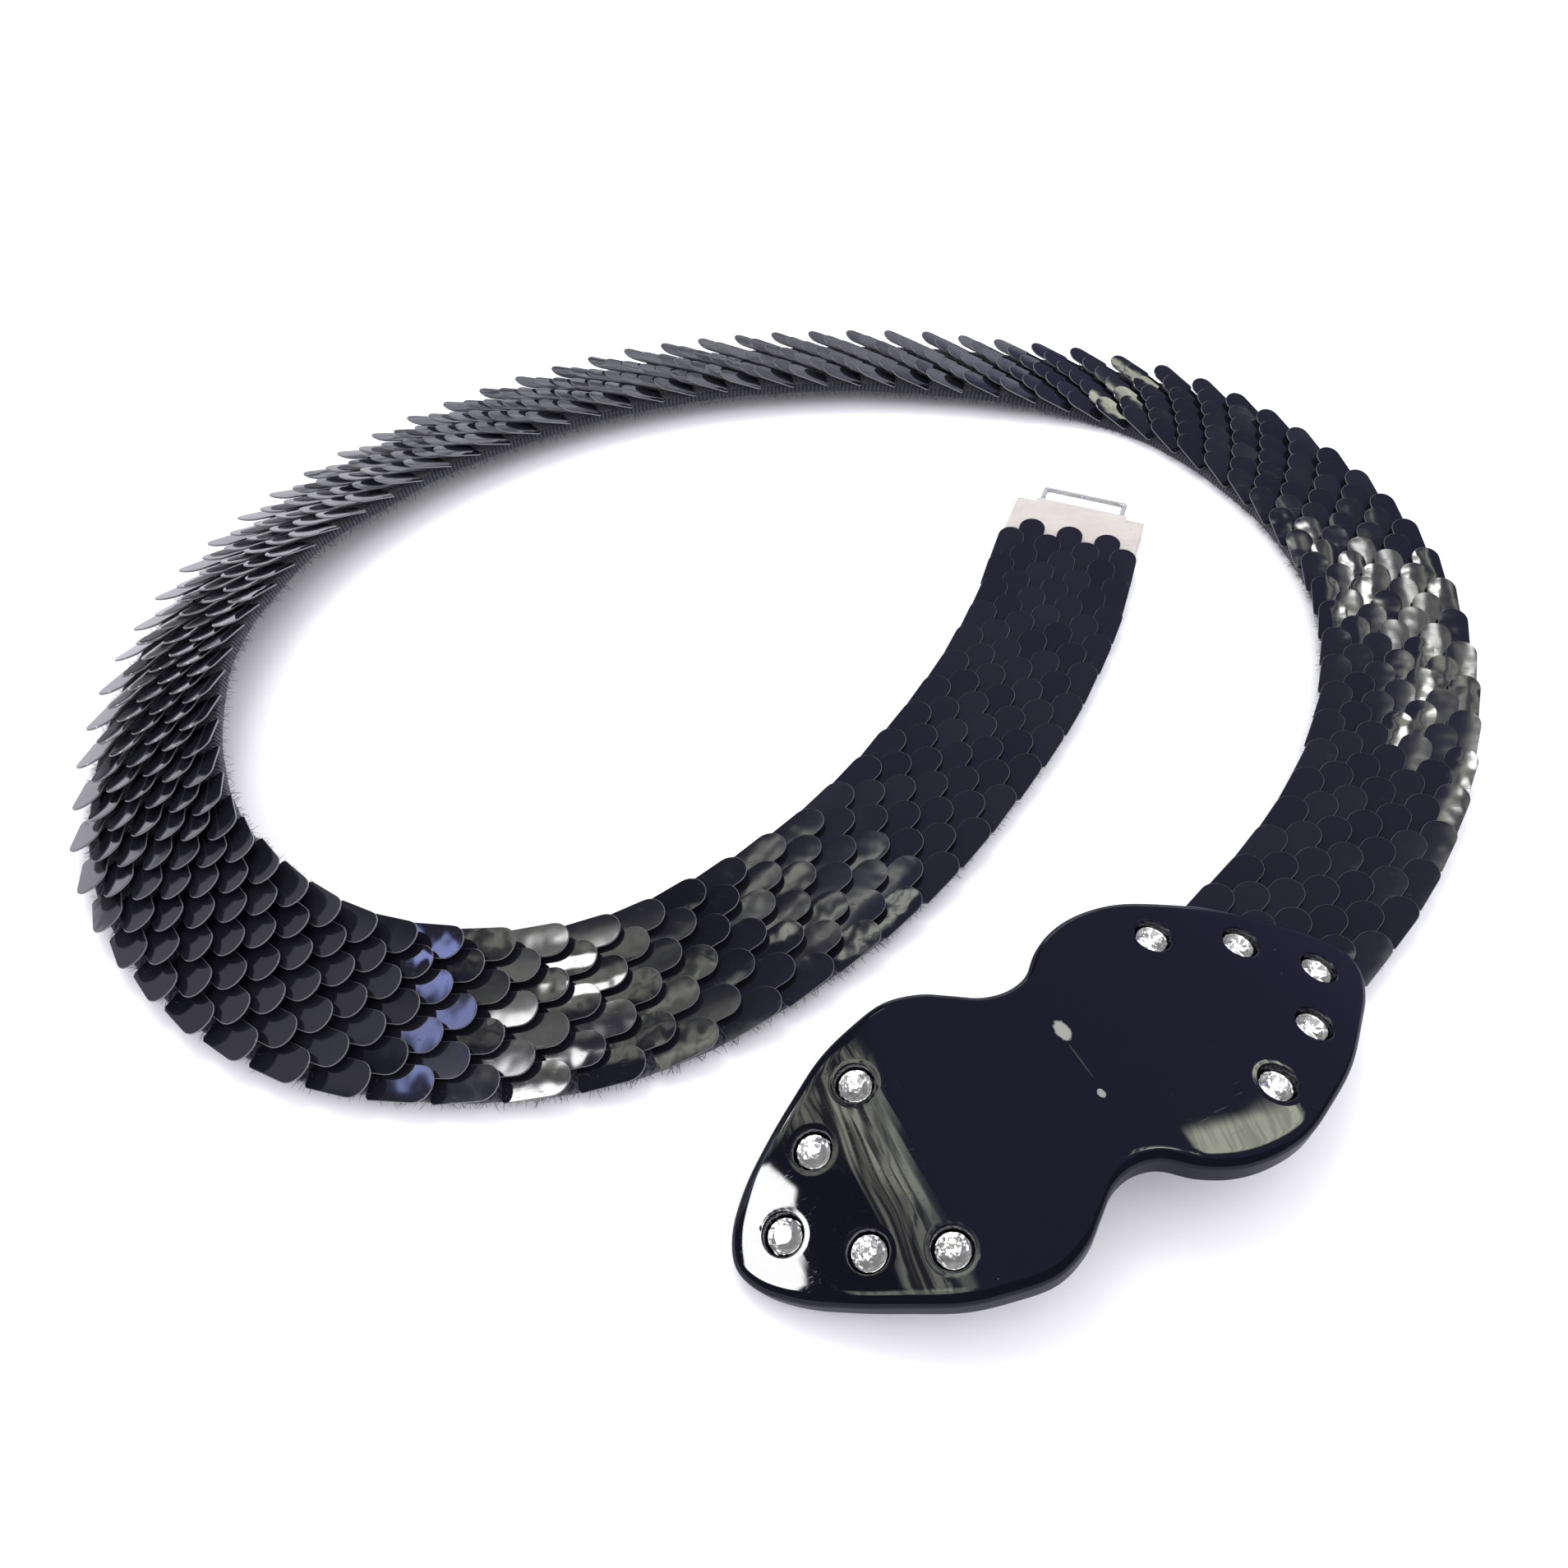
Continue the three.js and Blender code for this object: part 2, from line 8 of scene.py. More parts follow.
# %% Load the frame
import math

import bmesh
import bpy
import numpy as np
from mathutils import Matrix, Vector


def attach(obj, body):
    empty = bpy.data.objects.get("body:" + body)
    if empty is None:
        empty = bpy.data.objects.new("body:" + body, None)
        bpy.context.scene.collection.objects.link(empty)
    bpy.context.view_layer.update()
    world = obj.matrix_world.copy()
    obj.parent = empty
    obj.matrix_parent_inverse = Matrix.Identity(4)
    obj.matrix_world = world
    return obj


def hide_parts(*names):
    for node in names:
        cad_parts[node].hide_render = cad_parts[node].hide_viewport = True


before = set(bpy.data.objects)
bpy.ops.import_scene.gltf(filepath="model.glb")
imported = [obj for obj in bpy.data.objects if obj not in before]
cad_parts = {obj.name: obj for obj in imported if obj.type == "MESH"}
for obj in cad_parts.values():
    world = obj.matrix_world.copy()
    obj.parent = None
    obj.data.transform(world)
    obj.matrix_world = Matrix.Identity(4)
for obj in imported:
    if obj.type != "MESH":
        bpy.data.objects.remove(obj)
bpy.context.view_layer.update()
scene = bpy.context.scene
MM = 0.001

# %% [markdown]
# ## The camera
# The picture looks down on the belt from a little left of its middle, 46 degrees below the horizon, through a
# wide lens. A camera could be aimed at an empty, but a fixed place and three angles say the same in numbers that
# can be read. Turning it about its own line of sight last gives the slight tilt of the picture.

# %% Camera
def add_object(name, data):
    thing = bpy.data.objects.new(name, data)
    scene.collection.objects.link(thing)
    return thing


CAMERA = {
    "place": (-0.0048, -0.2011, 0.1765), "down": 46.46, "tilt": 1.157, "lens": 28.645, "sensor": 36.0, "near": 0.01,
}
camera_data = bpy.data.cameras.new("camera")
camera_data.sensor_width = CAMERA["sensor"]
camera_data.lens = CAMERA["lens"]
camera_data.clip_start = CAMERA["near"]
camera = add_object("camera", camera_data)
aim = Matrix.Rotation(math.radians(90 - CAMERA["down"]), 4, "X")
aim = aim @ Matrix.Rotation(math.radians(CAMERA["tilt"]), 4, "Z")
camera.matrix_world = Matrix.Translation(CAMERA["place"]) @ aim
scene.camera = camera
print("camera height:", camera.location.z)

# %% [markdown]
# ## Small helpers for node trees
# Every material here is a handful of nodes. Writing out each link by hand would bury the few numbers that matter,
# so one helper makes a node with its settings and inputs. An input that is given a socket is linked, and any
# other value is set on the input itself. The rest are short names for the nodes that are needed most often.

# %% Node helpers
def spaced(values):
    """Python names made into socket labels, such as Half_x into Half x."""
    return {name.replace("_", " "): value for name, value in values.items()}


def plug(tree, node, inputs):
    for name, value in inputs.items():
        if isinstance(value, bpy.types.NodeSocket):
            tree.links.new(value, node.inputs[name])
        else:
            node.inputs[name].default_value = value


def add_node(tree, kind, inputs=None, **settings):
    node = tree.nodes.new(kind)
    for name, value in settings.items():
        setattr(node, name, value)
    plug(tree, node, inputs or {})
    return node


def calculate(tree, operation, *values):
    return add_node(tree, "ShaderNodeMath", dict(enumerate(values)), operation=operation).outputs[0]


def on_vectors(tree, operation, *values, **inputs):
    """Vector arithmetic. A distance or a length comes out as one number."""
    node = add_node(tree, "ShaderNodeVectorMath", {**dict(enumerate(values)), **inputs}, operation=operation)
    return node.outputs[1 if operation in ("DISTANCE", "LENGTH") else 0]


def axes_of(tree, vector):
    return add_node(tree, "ShaderNodeSeparateXYZ", {0: vector}).outputs


def fade(tree, value, start, stop, low=1.0, high=0.0):
    """Goes smoothly from low to high while value goes from start to stop."""
    inputs = {"Value": value, "From Min": start, "From Max": stop, "To Min": low, "To Max": high}
    return add_node(tree, "ShaderNodeMapRange", inputs, interpolation_type="SMOOTHSTEP").outputs[0]


def noise(tree, vector, scale, **inputs):
    return add_node(tree, "ShaderNodeTexNoise", {"Vector": vector, "Scale": scale, **inputs}).outputs[0]


def mapping(tree, vector, kind="POINT", **inputs):
    """Turns and stretches a vector or, with TEXTURE, gives it in the axes of a turned frame at a place."""
    return add_node(tree, "ShaderNodeMapping", {"Vector": vector, **inputs}, vector_type=kind).outputs[0]


def mix_shaders(tree, factor, first, second):
    return add_node(tree, "ShaderNodeMixShader", {0: factor, 1: first, 2: second}).outputs[0]


print("node helpers ready")

# %% Node group helpers
def new_group(name, output, **inputs):
    """A shader node group that gives out one varying number. An input whose usual value is None is a vector."""
    group = bpy.data.node_groups.new(name, "ShaderNodeTree")
    for label, value in spaced(inputs).items():
        kind = "NodeSocketVector" if value is None else "NodeSocketFloat"
        socket = group.interface.new_socket(label, in_out="INPUT", socket_type=kind)
        if value is not None:
            socket.default_value = value
    group.interface.new_socket(output, in_out="OUTPUT", socket_type="NodeSocketFloat")
    return group, group.nodes.new("NodeGroupInput").outputs


def end_group(group, value):
    group.links.new(value, group.nodes.new("NodeGroupOutput").inputs[0])


def place_group(tree, group, **inputs):
    return add_node(tree, "ShaderNodeGroup", spaced(inputs), node_tree=group).outputs[0]


print("group helpers ready")

# %% [markdown]
# ## Light
# Black plastic has next to no colour of its own: what is seen on it is the room. So the room is drawn for it. Rays
# that bounce off something glossy see a dark blue-grey ceiling with a white window, a blue strip beside it and a
# few grey-green boards, each a soft box of directions. Rays that leave a clear stone see a sky of light and dark
# patches, because a cut stone shows only the contrast around it. Every other ray sees a plain, faintly lilac
# white, which lights the belt and the table evenly and tints the shadows. One broad lamp, high up and a little
# behind the belt, gives the shadows their direction.

# %% Sky boxes that the glossy pieces mirror
SKY_BASE = (0.05, 0.05, 0.09)
WHITE, GREEN_GREY = (25.0, 25.0, 25.0), (1.5, 1.55, 1.25)
SKY = (  # x, y, turn, half x, half y, soft edge, colour, grain
    (0.30, 0.40, 0, 0.58, 0.45, 0.05, (0.13, 0.13, 0.28), 0.0),
    (-0.608, 0.07, -26, 0.05, 0.135, 0.006, WHITE, 0.0),
    (-0.525, 0.285, 0, 0.024, 0.02, 0.004, WHITE, 0.0),
    (-0.37, 0.075, 20, 0.12, 0.03, 0.01, (2.6, 2.7, 2.2), 0.3),
    (-0.27, 0.52, -35, 0.055, 0.022, 0.005, (3.2, 3.3, 2.8), 0.95),
    (-0.693, 0.28, 0, 0.014, 0.12, 0.003, (4.2, 5.0, 10.5), 0.0),
    (-0.46, 0.29, 0, 0.19, 0.065, 0.02, GREEN_GREY, 0.9),
    (-0.34, 0.20, 8, 0.05, 0.09, 0.01, GREEN_GREY, 0.9),
    (-0.27, 0.23, 8, 0.012, 0.11, 0.014, (2.2, 2.4, 1.9), 0.2),
    (0.24, 0.352, 0, 0.055, 0.03, 0.008, (2.5, 2.55, 2.0), 0.8),
    (0.228, 0.345, 0, 0.015, 0.010, 0.003, WHITE, 0.0),
    (0.412, 0.469, 24, 0.12, 0.03, 0.008, (6.2, 6.4, 4.9), 0.2),
    (-0.83, 0.42, 0, 0.10, 0.20, 0.03, (0.46, 0.46, 0.47), 0.0),
    (0.38, 0.87, -32, 0.14, 0.04, 0.03, (0.9, 0.9, 1.0), 0.2),
    (-0.02, 0.96, 0, 0.28, 0.06, 0.03, (0.8, 0.8, 0.9), 0.7),
)
GRAIN = {"stretch": (78.0, 7.0, 7.0), "turn": 0.1, "detail": 5.0, "distortion": 0.8, "streaks": (0.42, 0.58)}

world = bpy.data.worlds.new("studio")
world.use_nodes = True
scene.world = world
sky = world.node_tree
sky.nodes.clear()

sky_box, given = new_group("sky_box", "Mask", Ray=None, Middle=None, Turn=None, Half_x=0.0, Half_y=0.0, Soft=0.0)
own_ray = mapping(sky_box, given["Ray"], "TEXTURE", Location=given["Middle"], Rotation=given["Turn"])
own_axes = axes_of(sky_box, own_ray)
masks = []
for axis in "xy":
    away = calculate(sky_box, "ABSOLUTE", own_axes[axis.upper()])
    edges = [calculate(sky_box, way, given[f"Half {axis}"], given["Soft"]) for way in ("SUBTRACT", "ADD")]
    masks.append(fade(sky_box, away, *edges))
end_group(sky_box, calculate(sky_box, "MULTIPLY", *masks))

ray = add_node(sky, "ShaderNodeTexCoord").outputs["Generated"]
above = calculate(sky, "GREATER_THAN", axes_of(sky, ray)["Z"], 0.0)
stretched = mapping(sky, ray, Rotation=(0, 0, GRAIN["turn"]), Scale=GRAIN["stretch"])
streaks = noise(sky, stretched, 1.0, Detail=GRAIN["detail"], Distortion=GRAIN["distortion"])
mirrored = SKY_BASE
for x, y, turn, half_x, half_y, soft, colour, grain in SKY:
    mask = place_group(
        sky, sky_box, Ray=ray, Middle=(x, y, 0), Turn=(0, 0, math.radians(turn)), Half_x=half_x, Half_y=half_y,
        Soft=soft,
    )
    grainy = fade(sky, streaks, *GRAIN["streaks"], 1.0 - grain, 1.0 + grain)
    weight = calculate(sky, "MULTIPLY", calculate(sky, "MULTIPLY", mask, above), grainy)
    mirrored = on_vectors(sky, "ADD", mirrored, on_vectors(sky, "SCALE", colour, Scale=weight))
print("sky boxes:", len(SKY))

# %% Room light and window lamp
ROOM_LIGHT = {"colour": (0.94, 0.93, 1.0, 1), "strength": 1.6}
STONE_LIGHT = {
    "colour": (1.0, 0.99, 0.96, 1), "patches": 5.0, "detail": 1.0, "edge": (0.46, 0.52), "dim": 0.3, "bright": 3.4,
}
LAMP = {"toward": (-0.22, 0.4, 1.0), "distance": 1.4, "size": 0.6, "power": 4.5, "colour": (1.0, 0.99, 0.93)}


def background(colour, strength):
    return add_node(sky, "ShaderNodeBackground", {"Color": colour, "Strength": strength}).outputs[0]


light_path = add_node(sky, "ShaderNodeLightPath").outputs
patches = noise(sky, ray, STONE_LIGHT["patches"], Detail=STONE_LIGHT["detail"])
sparkle = fade(sky, patches, *STONE_LIGHT["edge"], STONE_LIGHT["dim"], STONE_LIGHT["bright"])
room = background(ROOM_LIGHT["colour"], ROOM_LIGHT["strength"])
opaque = mix_shaders(sky, light_path["Is Glossy Ray"], room, background(mirrored, 1.0))
seen = mix_shaders(sky, light_path["Is Transmission Ray"], opaque, background(STONE_LIGHT["colour"], sparkle))
add_node(sky, "ShaderNodeOutputWorld", {"Surface": seen})

lamp_data = bpy.data.lights.new("window_lamp", "AREA")
lamp_data.size = LAMP["size"]
lamp_data.energy = LAMP["power"]
lamp_data.color = LAMP["colour"]
lamp = add_object("window_lamp", lamp_data)
toward = Vector(LAMP["toward"]).normalized()
facing = toward.to_track_quat("Z", "Y").to_matrix().to_4x4()
lamp.matrix_world = Matrix.Translation(toward * LAMP["distance"]) @ facing
lamp.visible_glossy = False
lamp.visible_camera = False
print("lamp at:", [round(c, 2) for c in lamp.location])

# %% Table top
TABLE = {
    "half": 3.0, "white": (0.9, 0.9, 0.9, 1), "near_painted_shade": (0.3, 0.3, 0.34, 1), "far_gloss": (0.85, 0.85, 0.88, 1),
    "far_from": -0.02, "far_to": -0.12,
}
bpy.ops.mesh.primitive_grid_add(x_subdivisions=2, y_subdivisions=2, size=2 * TABLE["half"])
table_top = bpy.context.object
table_top.name = "table_top"
table_paint = bpy.data.materials.new("table_paint")
table_paint.use_nodes = True
paint = table_paint.node_tree
paint.nodes.clear()


def matt(colour):
    return add_node(paint, "ShaderNodeBsdfDiffuse", {"Color": colour}).outputs[0]


# Mirrored rays see the table painted dark grey where x > -0.02 m, a painted shade; the camera sees it white.
table_x = axes_of(paint, add_node(paint, "ShaderNodeTexCoord").outputs["Object"])["X"]
far = fade(paint, table_x, TABLE["far_to"], TABLE["far_from"])
mirrored_with_painted_shade = mix_shaders(paint, far, matt(TABLE["near_painted_shade"]), matt(TABLE["far_gloss"]))
glossy_ray = add_node(paint, "ShaderNodeLightPath").outputs["Is Glossy Ray"]
painted = mix_shaders(paint, glossy_ray, matt(TABLE["white"]), mirrored_with_painted_shade)
add_node(paint, "ShaderNodeOutputMaterial", {"Surface": painted})
table_top.data.materials.append(table_paint)
scene.view_settings.view_transform = "Standard"
print("table:", 2 * TABLE["half"], "m wide")

# %% [markdown]
# ## The route of the belt
# The belt's middle line is a smooth curve through a few places on the table. Each place also says how the band
# leans, how far its scales stand off, how far a row runs askew, how each scale is twisted about its own length,
# and how high the band runs where it dips under the medallion. A Bezier curve object could carry this, but the
# scales need its exact frame at any distance, so the curve is worked out here: cubic pieces whose slope at a place
# is half the step between its two neighbours.

# %% Route table
ROUTE_COLUMNS = ("x", "y", "roll", "lift", "skew", "twist", "rise", "spread")
ROUTE = (
    (0.0509, -0.0977, 0, 4, 0, 3, 0.0056, 1),
    (0.0740, -0.0783, 0, 4, 0, 3, 0, 1),
    (0.1024, -0.0462, -2, 5, 0, 3, 0, 1),
    (0.1218, -0.0081, -5, 9, 0, 0, 0, 1),
    (0.1286, 0.0339, -6, 12, 0, 0, 0, 1),
    (0.1182, 0.0754, -4, 14, 0.05, 0, 0, 1.01),
    (0.0910, 0.1100, 0, 16, 0.15, 7, 0, 1.01),
    (0.0484, 0.1214, 5, 18, 0.3, 6, 0.001, 1),
    (0.0060, 0.1230, 7, 18, 0.3, 7, 0.001, 1),
    (-0.0367, 0.1137, 8, 18, 0.3, 8, 0.001, 1),
    (-0.0745, 0.0930, 10, 18, 0.3, 9, 0.0005, 1),
    (-0.1045, 0.0625, 14, 17, 0.25, 9, 0, 1),
    (-0.1240, 0.0240, 19, 15, 0.25, 6, 0, 1),
    (-0.1268, -0.0185, 24, 13, 0.25, 3, 0, 0.98),
    (-0.1125, -0.0600, 21, 12, -0.05, 0, 0, 0.97),
    (-0.0786, -0.0868, 13, 11, -0.17, 0, 0, 0.98),
    (-0.0358, -0.0874, 7, 10, -0.03, 0, 0, 0.98),
    (0.0001, -0.0640, 3, 6, -0.03, 8, 0, 0.99),
    (0.0271, -0.0309, 1, 5, 0, 4, 0, 1),
    (0.0478, 0.0064, 0, 4, 0, 0, 0, 1.04),
    (0.0621, 0.0465, 0, 4, 0, 0, 0, 1.08),
)
STEPS_PER_PLACE = 40
route = dict(zip(ROUTE_COLUMNS, np.array(ROUTE, float).T))
places = np.column_stack([route["x"], route["y"]])
beyond = np.vstack([2 * places[0] - places[1], places, 2 * places[-1] - places[-2]])
slopes = (beyond[2:] - beyond[:-2]) / 2


def cubic_point(s, first, last, leave, arrive):
    """The point at part s of a cubic piece that is given by its two ends and its slopes there."""
    return (
        (2 * s**3 - 3 * s**2 + 1) * first + (s**3 - 2 * s**2 + s) * leave
        + (3 * s**2 - 2 * s**3) * last + (s**3 - s**2) * arrive
    )


def route_at(step):
    """Points and headings at steps counted in places, such as 2.5 half way from the third to the fourth."""
    index = np.minimum(step.astype(int), len(places) - 2)
    s = (step - index)[:, None]
    first, last, leave, arrive = places[index], places[index + 1], slopes[index], slopes[index + 1]
    heading = (
        (6 * s**2 - 6 * s) * (first - last) + (3 * s**2 - 4 * s + 1) * leave + (3 * s**2 - 2 * s) * arrive
    )
    return cubic_point(s, first, last, leave, arrive), heading / np.linalg.norm(heading, axis=1, keepdims=True)


route_steps = np.linspace(0, len(places) - 1, STEPS_PER_PLACE * (len(places) - 1) + 1)
fine_points = route_at(route_steps)[0]
route_lengths = np.concatenate([[0], np.cumsum(np.linalg.norm(np.diff(fine_points, axis=0), axis=1))])
route_length = route_lengths[-1]
place_lengths = route_lengths[::STEPS_PER_PLACE]
print("route length:", round(route_length, 4), "m")

# %% Frame of the band at any distance
BAND = {"width": 27.8 * MM, "thick": 2.6 * MM, "corner": 0.7 * MM}


def smoothstep(value, low, high):
    part = np.clip((value - low) / (high - low), 0, 1)
    return part * part * (3 - 2 * part)


def route_value(column, along):
    index = np.clip(np.searchsorted(place_lengths, along) - 1, 0, len(places) - 2)
    part = smoothstep(along, place_lengths[index], place_lengths[index + 1])
    return route[column][index] * (1 - part) + route[column][index + 1] * part


def band_frame(along):
    """The middle of the band's underside, and the directions ahead, inward across and up."""
    inside = np.clip(along, 0, route_length)
    point, heading = route_at(np.interp(inside, route_lengths, route_steps))
    point = point + heading * (along - inside)[:, None]
    roll = np.radians(route_value("roll", inside))
    sine, cosine, flat = np.sin(roll), np.cos(roll), np.zeros(len(roll))
    height = np.abs(sine) * BAND["width"] / 2 + route_value("rise", inside)
    x, y = heading.T
    middle = np.column_stack([point, height])
    ahead = np.column_stack([x, y, flat])
    inward = np.column_stack([-y * cosine, x * cosine, sine])
    up = np.column_stack([y * sine, -x * sine, cosine])
    return middle, ahead, inward, up


def on_band(along, across, up):
    middle, _, inward, upward = band_frame(along)
    return middle + across[:, None] * inward + up[:, None] * upward


print("start:", on_band(np.zeros(1), np.zeros(1), np.zeros(1)).round(4))

# %% [markdown]
# ## Making and finishing pieces
# Each visible piece is a mesh whose object stays at the origin, with its place in its points. A piece built from
# rows of points is made at once from lists. Where modifiers or Geometry Nodes do the work, their result is turned
# into a plain mesh before the piece is handed to the frame, so nothing is left to evaluate later.

# %% Piece helpers
SHARP = math.radians(28)


def new_piece(name, points, faces):
    mesh = bpy.data.meshes.new(name)
    mesh.from_pydata([tuple(point) for point in points], [], [tuple(face) for face in faces])
    mesh.update()
    return add_object(name, mesh)


def make_plain(piece):
    """Applies the modifiers of a piece."""
    bpy.context.view_layer.update()
    depsgraph = bpy.context.evaluated_depsgraph_get()
    mesh = bpy.data.meshes.new_from_object(
        piece.evaluated_get(depsgraph), preserve_all_data_layers=True, depsgraph=depsgraph,
    )
    piece.modifiers.clear()
    piece.data = mesh


def apply_modifier(piece, kind, **settings):
    modifier = piece.modifiers.new(kind.lower(), kind)
    for name, value in settings.items():
        setattr(modifier, name, value)
    make_plain(piece)


def face_outward(piece, merge=0.0, flatten=0.0):
    """Turns the faces outwards, after it has merged doubled points and joined flat neighbours where asked."""
    shell = bmesh.new()
    shell.from_mesh(piece.data)
    if merge:
        bmesh.ops.remove_doubles(shell, verts=shell.verts, dist=merge)
    if flatten:
        bmesh.ops.dissolve_limit(shell, angle_limit=flatten, verts=shell.verts, edges=shell.edges)
    bmesh.ops.recalc_face_normals(shell, faces=shell.faces)
    shell.to_mesh(piece.data)
    shell.free()


def store(piece, name, kind, values):
    """Keeps a value for each point as an attribute."""
    attribute = piece.data.attributes.new(name, kind, "POINT")
    attribute.data.foreach_set("vector" if kind == "FLOAT_VECTOR" else "value", np.ravel(values))


def smooth(piece, angle=SHARP):
    piece.data.shade_smooth()
    piece.data.set_sharp_from_angle(angle=angle)


def finish_with(piece, *materials):
    piece.data.materials.clear()
    for material in materials:
        piece.data.materials.append(material)


def hand_over(piece, slot, *nodes):
    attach(piece, "root")
    if nodes:
        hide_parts(*nodes)
    piece.data.calc_loop_triangles()
    print(piece.name, len(piece.data.loop_triangles), "triangles, stands for", nodes)


print("sharp above", round(math.degrees(SHARP)), "degrees")

# %% Helpers for pieces skinned over rows of points
def bridge(lower, upper):
    """Quads between two closed rows of point numbers."""
    after = [(i + 1) % len(lower) for i in range(len(lower))]
    return [(lower[i], lower[j], upper[j], upper[i]) for i, j in enumerate(after)]


def skin(rows, first=0):
    """The points of some closed rows, their numbers row by row, and the faces between the rows."""
    points, rings = [], []
    for row in rows:
        rings.append(list(range(first + len(points), first + len(points) + len(row))))
        points += list(row)
    return points, rings, [face for lower, upper in zip(rings, rings[1:]) for face in bridge(lower, upper)]


def capped(name, rows):
    """A closed piece skinned over rows of points, with one face over each end."""
    points, rings, faces = skin(rows)
    piece = new_piece(name, points, faces + [rings[0][::-1], rings[-1]])
    face_outward(piece)
    return piece


def circle(radius, up, sides, start=0.0):
    angles = [start + 2 * math.pi * side / sides for side in range(sides)]
    return [Vector((radius * math.cos(angle), radius * math.sin(angle), up)) for angle in angles]


def quarter_turn(steps):
    """Sines and cosines of angles from 0 to 90 degrees."""
    angles = [math.pi / 2 * step / steps for step in range(steps + 1)]
    return [(math.sin(angle), math.cos(angle)) for angle in angles]


def mirror_image(spots):
    """Flat spots on the other side of the X axis, in the order that leads back."""
    return [Vector((spot[0], -spot[1])) for spot in reversed(spots)]


print("skin helpers ready")

# %% [markdown]
# ## Shared surface effects
# Polished plastic and metal share three small faults: a surface that is never quite flat, hair-fine scratches, and
# specks of dust. Each is a node group with named inputs, so that every material can place it with its own values.
# The groups only give out masks and heights. The shader that uses them stays in the material.

# %% Waviness, scratches and dust
wavy, given = new_group("gentle_waves", "Height", Vector=None, Per_metre=100.0)
end_group(wavy, noise(wavy, given["Vector"], given["Per metre"], Detail=1.0))

SCRATCHES = {
    "turns": (0.4, 1.3, 2.5), "stretch": (70.0, 4200.0, 4200.0), "thin": (0.73, 0.77),
    "patches": (90.0, 40.0), "inside": (0.5, 0.62),
}
scratched, given = new_group("hair_scratches", "Mask", Vector=None, Amount=0.5)
scratches = 0.0
for turn in SCRATCHES["turns"]:
    turned = mapping(scratched, given["Vector"], Rotation=(0, 0, turn), Scale=SCRATCHES["stretch"])
    thin = fade(scratched, noise(scratched, turned, 1.0, Detail=0.0), *SCRATCHES["thin"], 0.0, 1.0)
    least_cells, more_cells = SCRATCHES["patches"]
    patches = noise(scratched, given["Vector"], least_cells + more_cells * turn)
    inside = fade(scratched, patches, *SCRATCHES["inside"], 0.0, 1.0)
    scratches = calculate(scratched, "MAXIMUM", calculate(scratched, "MULTIPLY", thin, inside), scratches)
end_group(scratched, calculate(scratched, "MULTIPLY", scratches, given["Amount"]))

BARE_CELLS = 0.8
dusty, given = new_group("dust_specks", "Mask", Vector=None, Per_metre=500.0, Size=0.08)
cells = add_node(dusty, "ShaderNodeTexVoronoi", {"Vector": given["Vector"], "Scale": given["Per metre"]}).outputs
draw = add_node(dusty, "ShaderNodeSeparateColor", {0: cells["Color"]}).outputs[0]
speck = fade(dusty, cells["Distance"], calculate(dusty, "MULTIPLY", given["Size"], 0.5), given["Size"])
end_group(dusty, calculate(dusty, "MULTIPLY", speck, calculate(dusty, "GREATER_THAN", draw, BARE_CELLS)))
print("groups:", [group.name for group in bpy.data.node_groups])

# %% Material helpers
def new_material(name, **constants):
    """A material with one principled shader. constants: values that are the same all over the surface."""
    material = bpy.data.materials.new(name)
    material.use_nodes = True
    tree = material.node_tree
    shader = tree.nodes["Principled BSDF"]
    plug(tree, shader, spaced(constants))
    return material, tree, shader, tree.nodes.new("ShaderNodeTexCoord").outputs["Object"]


def kept_value(tree, name, output="Fac"):
    return add_node(tree, "ShaderNodeAttribute", attribute_name=name).outputs[output]


def mix_colours(tree, factor, first, second):
    return add_node(tree, "ShaderNodeMix", {0: factor, 6: first, 7: second}, data_type="RGBA").outputs[2]


def add_bump(tree, height, distance, **under):
    inputs = {"Height": height, "Distance": distance, "Strength": 1.0, **under}
    return add_node(tree, "ShaderNodeBump", inputs).outputs[0]


print("materials can be made")

# %% [markdown]
# ## Scales: one blank
# A scale is a thin tongue of moulded plastic, about 11 mm long and 6 mm wide, with a half-round tip, a slightly
# crowned back and a softened rim. It is repeated over six hundred times, so it is built with about seven dozen
# faces: pairs of points from the root to the tip, a centre line between them for the crown, and a rim of three
# narrow strips. The rim points carry an attribute that the material reads to paint the thin edge a lighter grey,
# a painted glint.

# %% Scale blank
SCALE = {
    "length": 11.2 * MM, "width": 6.0 * MM, "thick": 0.36 * MM, "crown": 0.08 * MM, "rim": 0.09 * MM,
    "rim_slope": 1.2, "tip_steps": 6, "root_inset": 0.5 * MM, "doubled": 0.001 * MM,
}


def scale_outline():
    """One side of the scale from root to tip, and the whole way round."""
    radius, inset = SCALE["width"] / 2, SCALE["root_inset"]
    round_from = SCALE["length"] - radius
    side = [Vector((0, radius - inset)), Vector((inset, radius)), Vector((round_from, radius))]
    side += [Vector((round_from + radius * s, radius * c)) for s, c in quarter_turn(SCALE["tip_steps"])[1:]]
    return side, side + mirror_image(side[:-1])


def crown_at(side):
    """How far the crowned back rises at a distance from the scale's middle line."""
    return SCALE["crown"] * (1 - (2 * side / SCALE["width"]) ** 2)


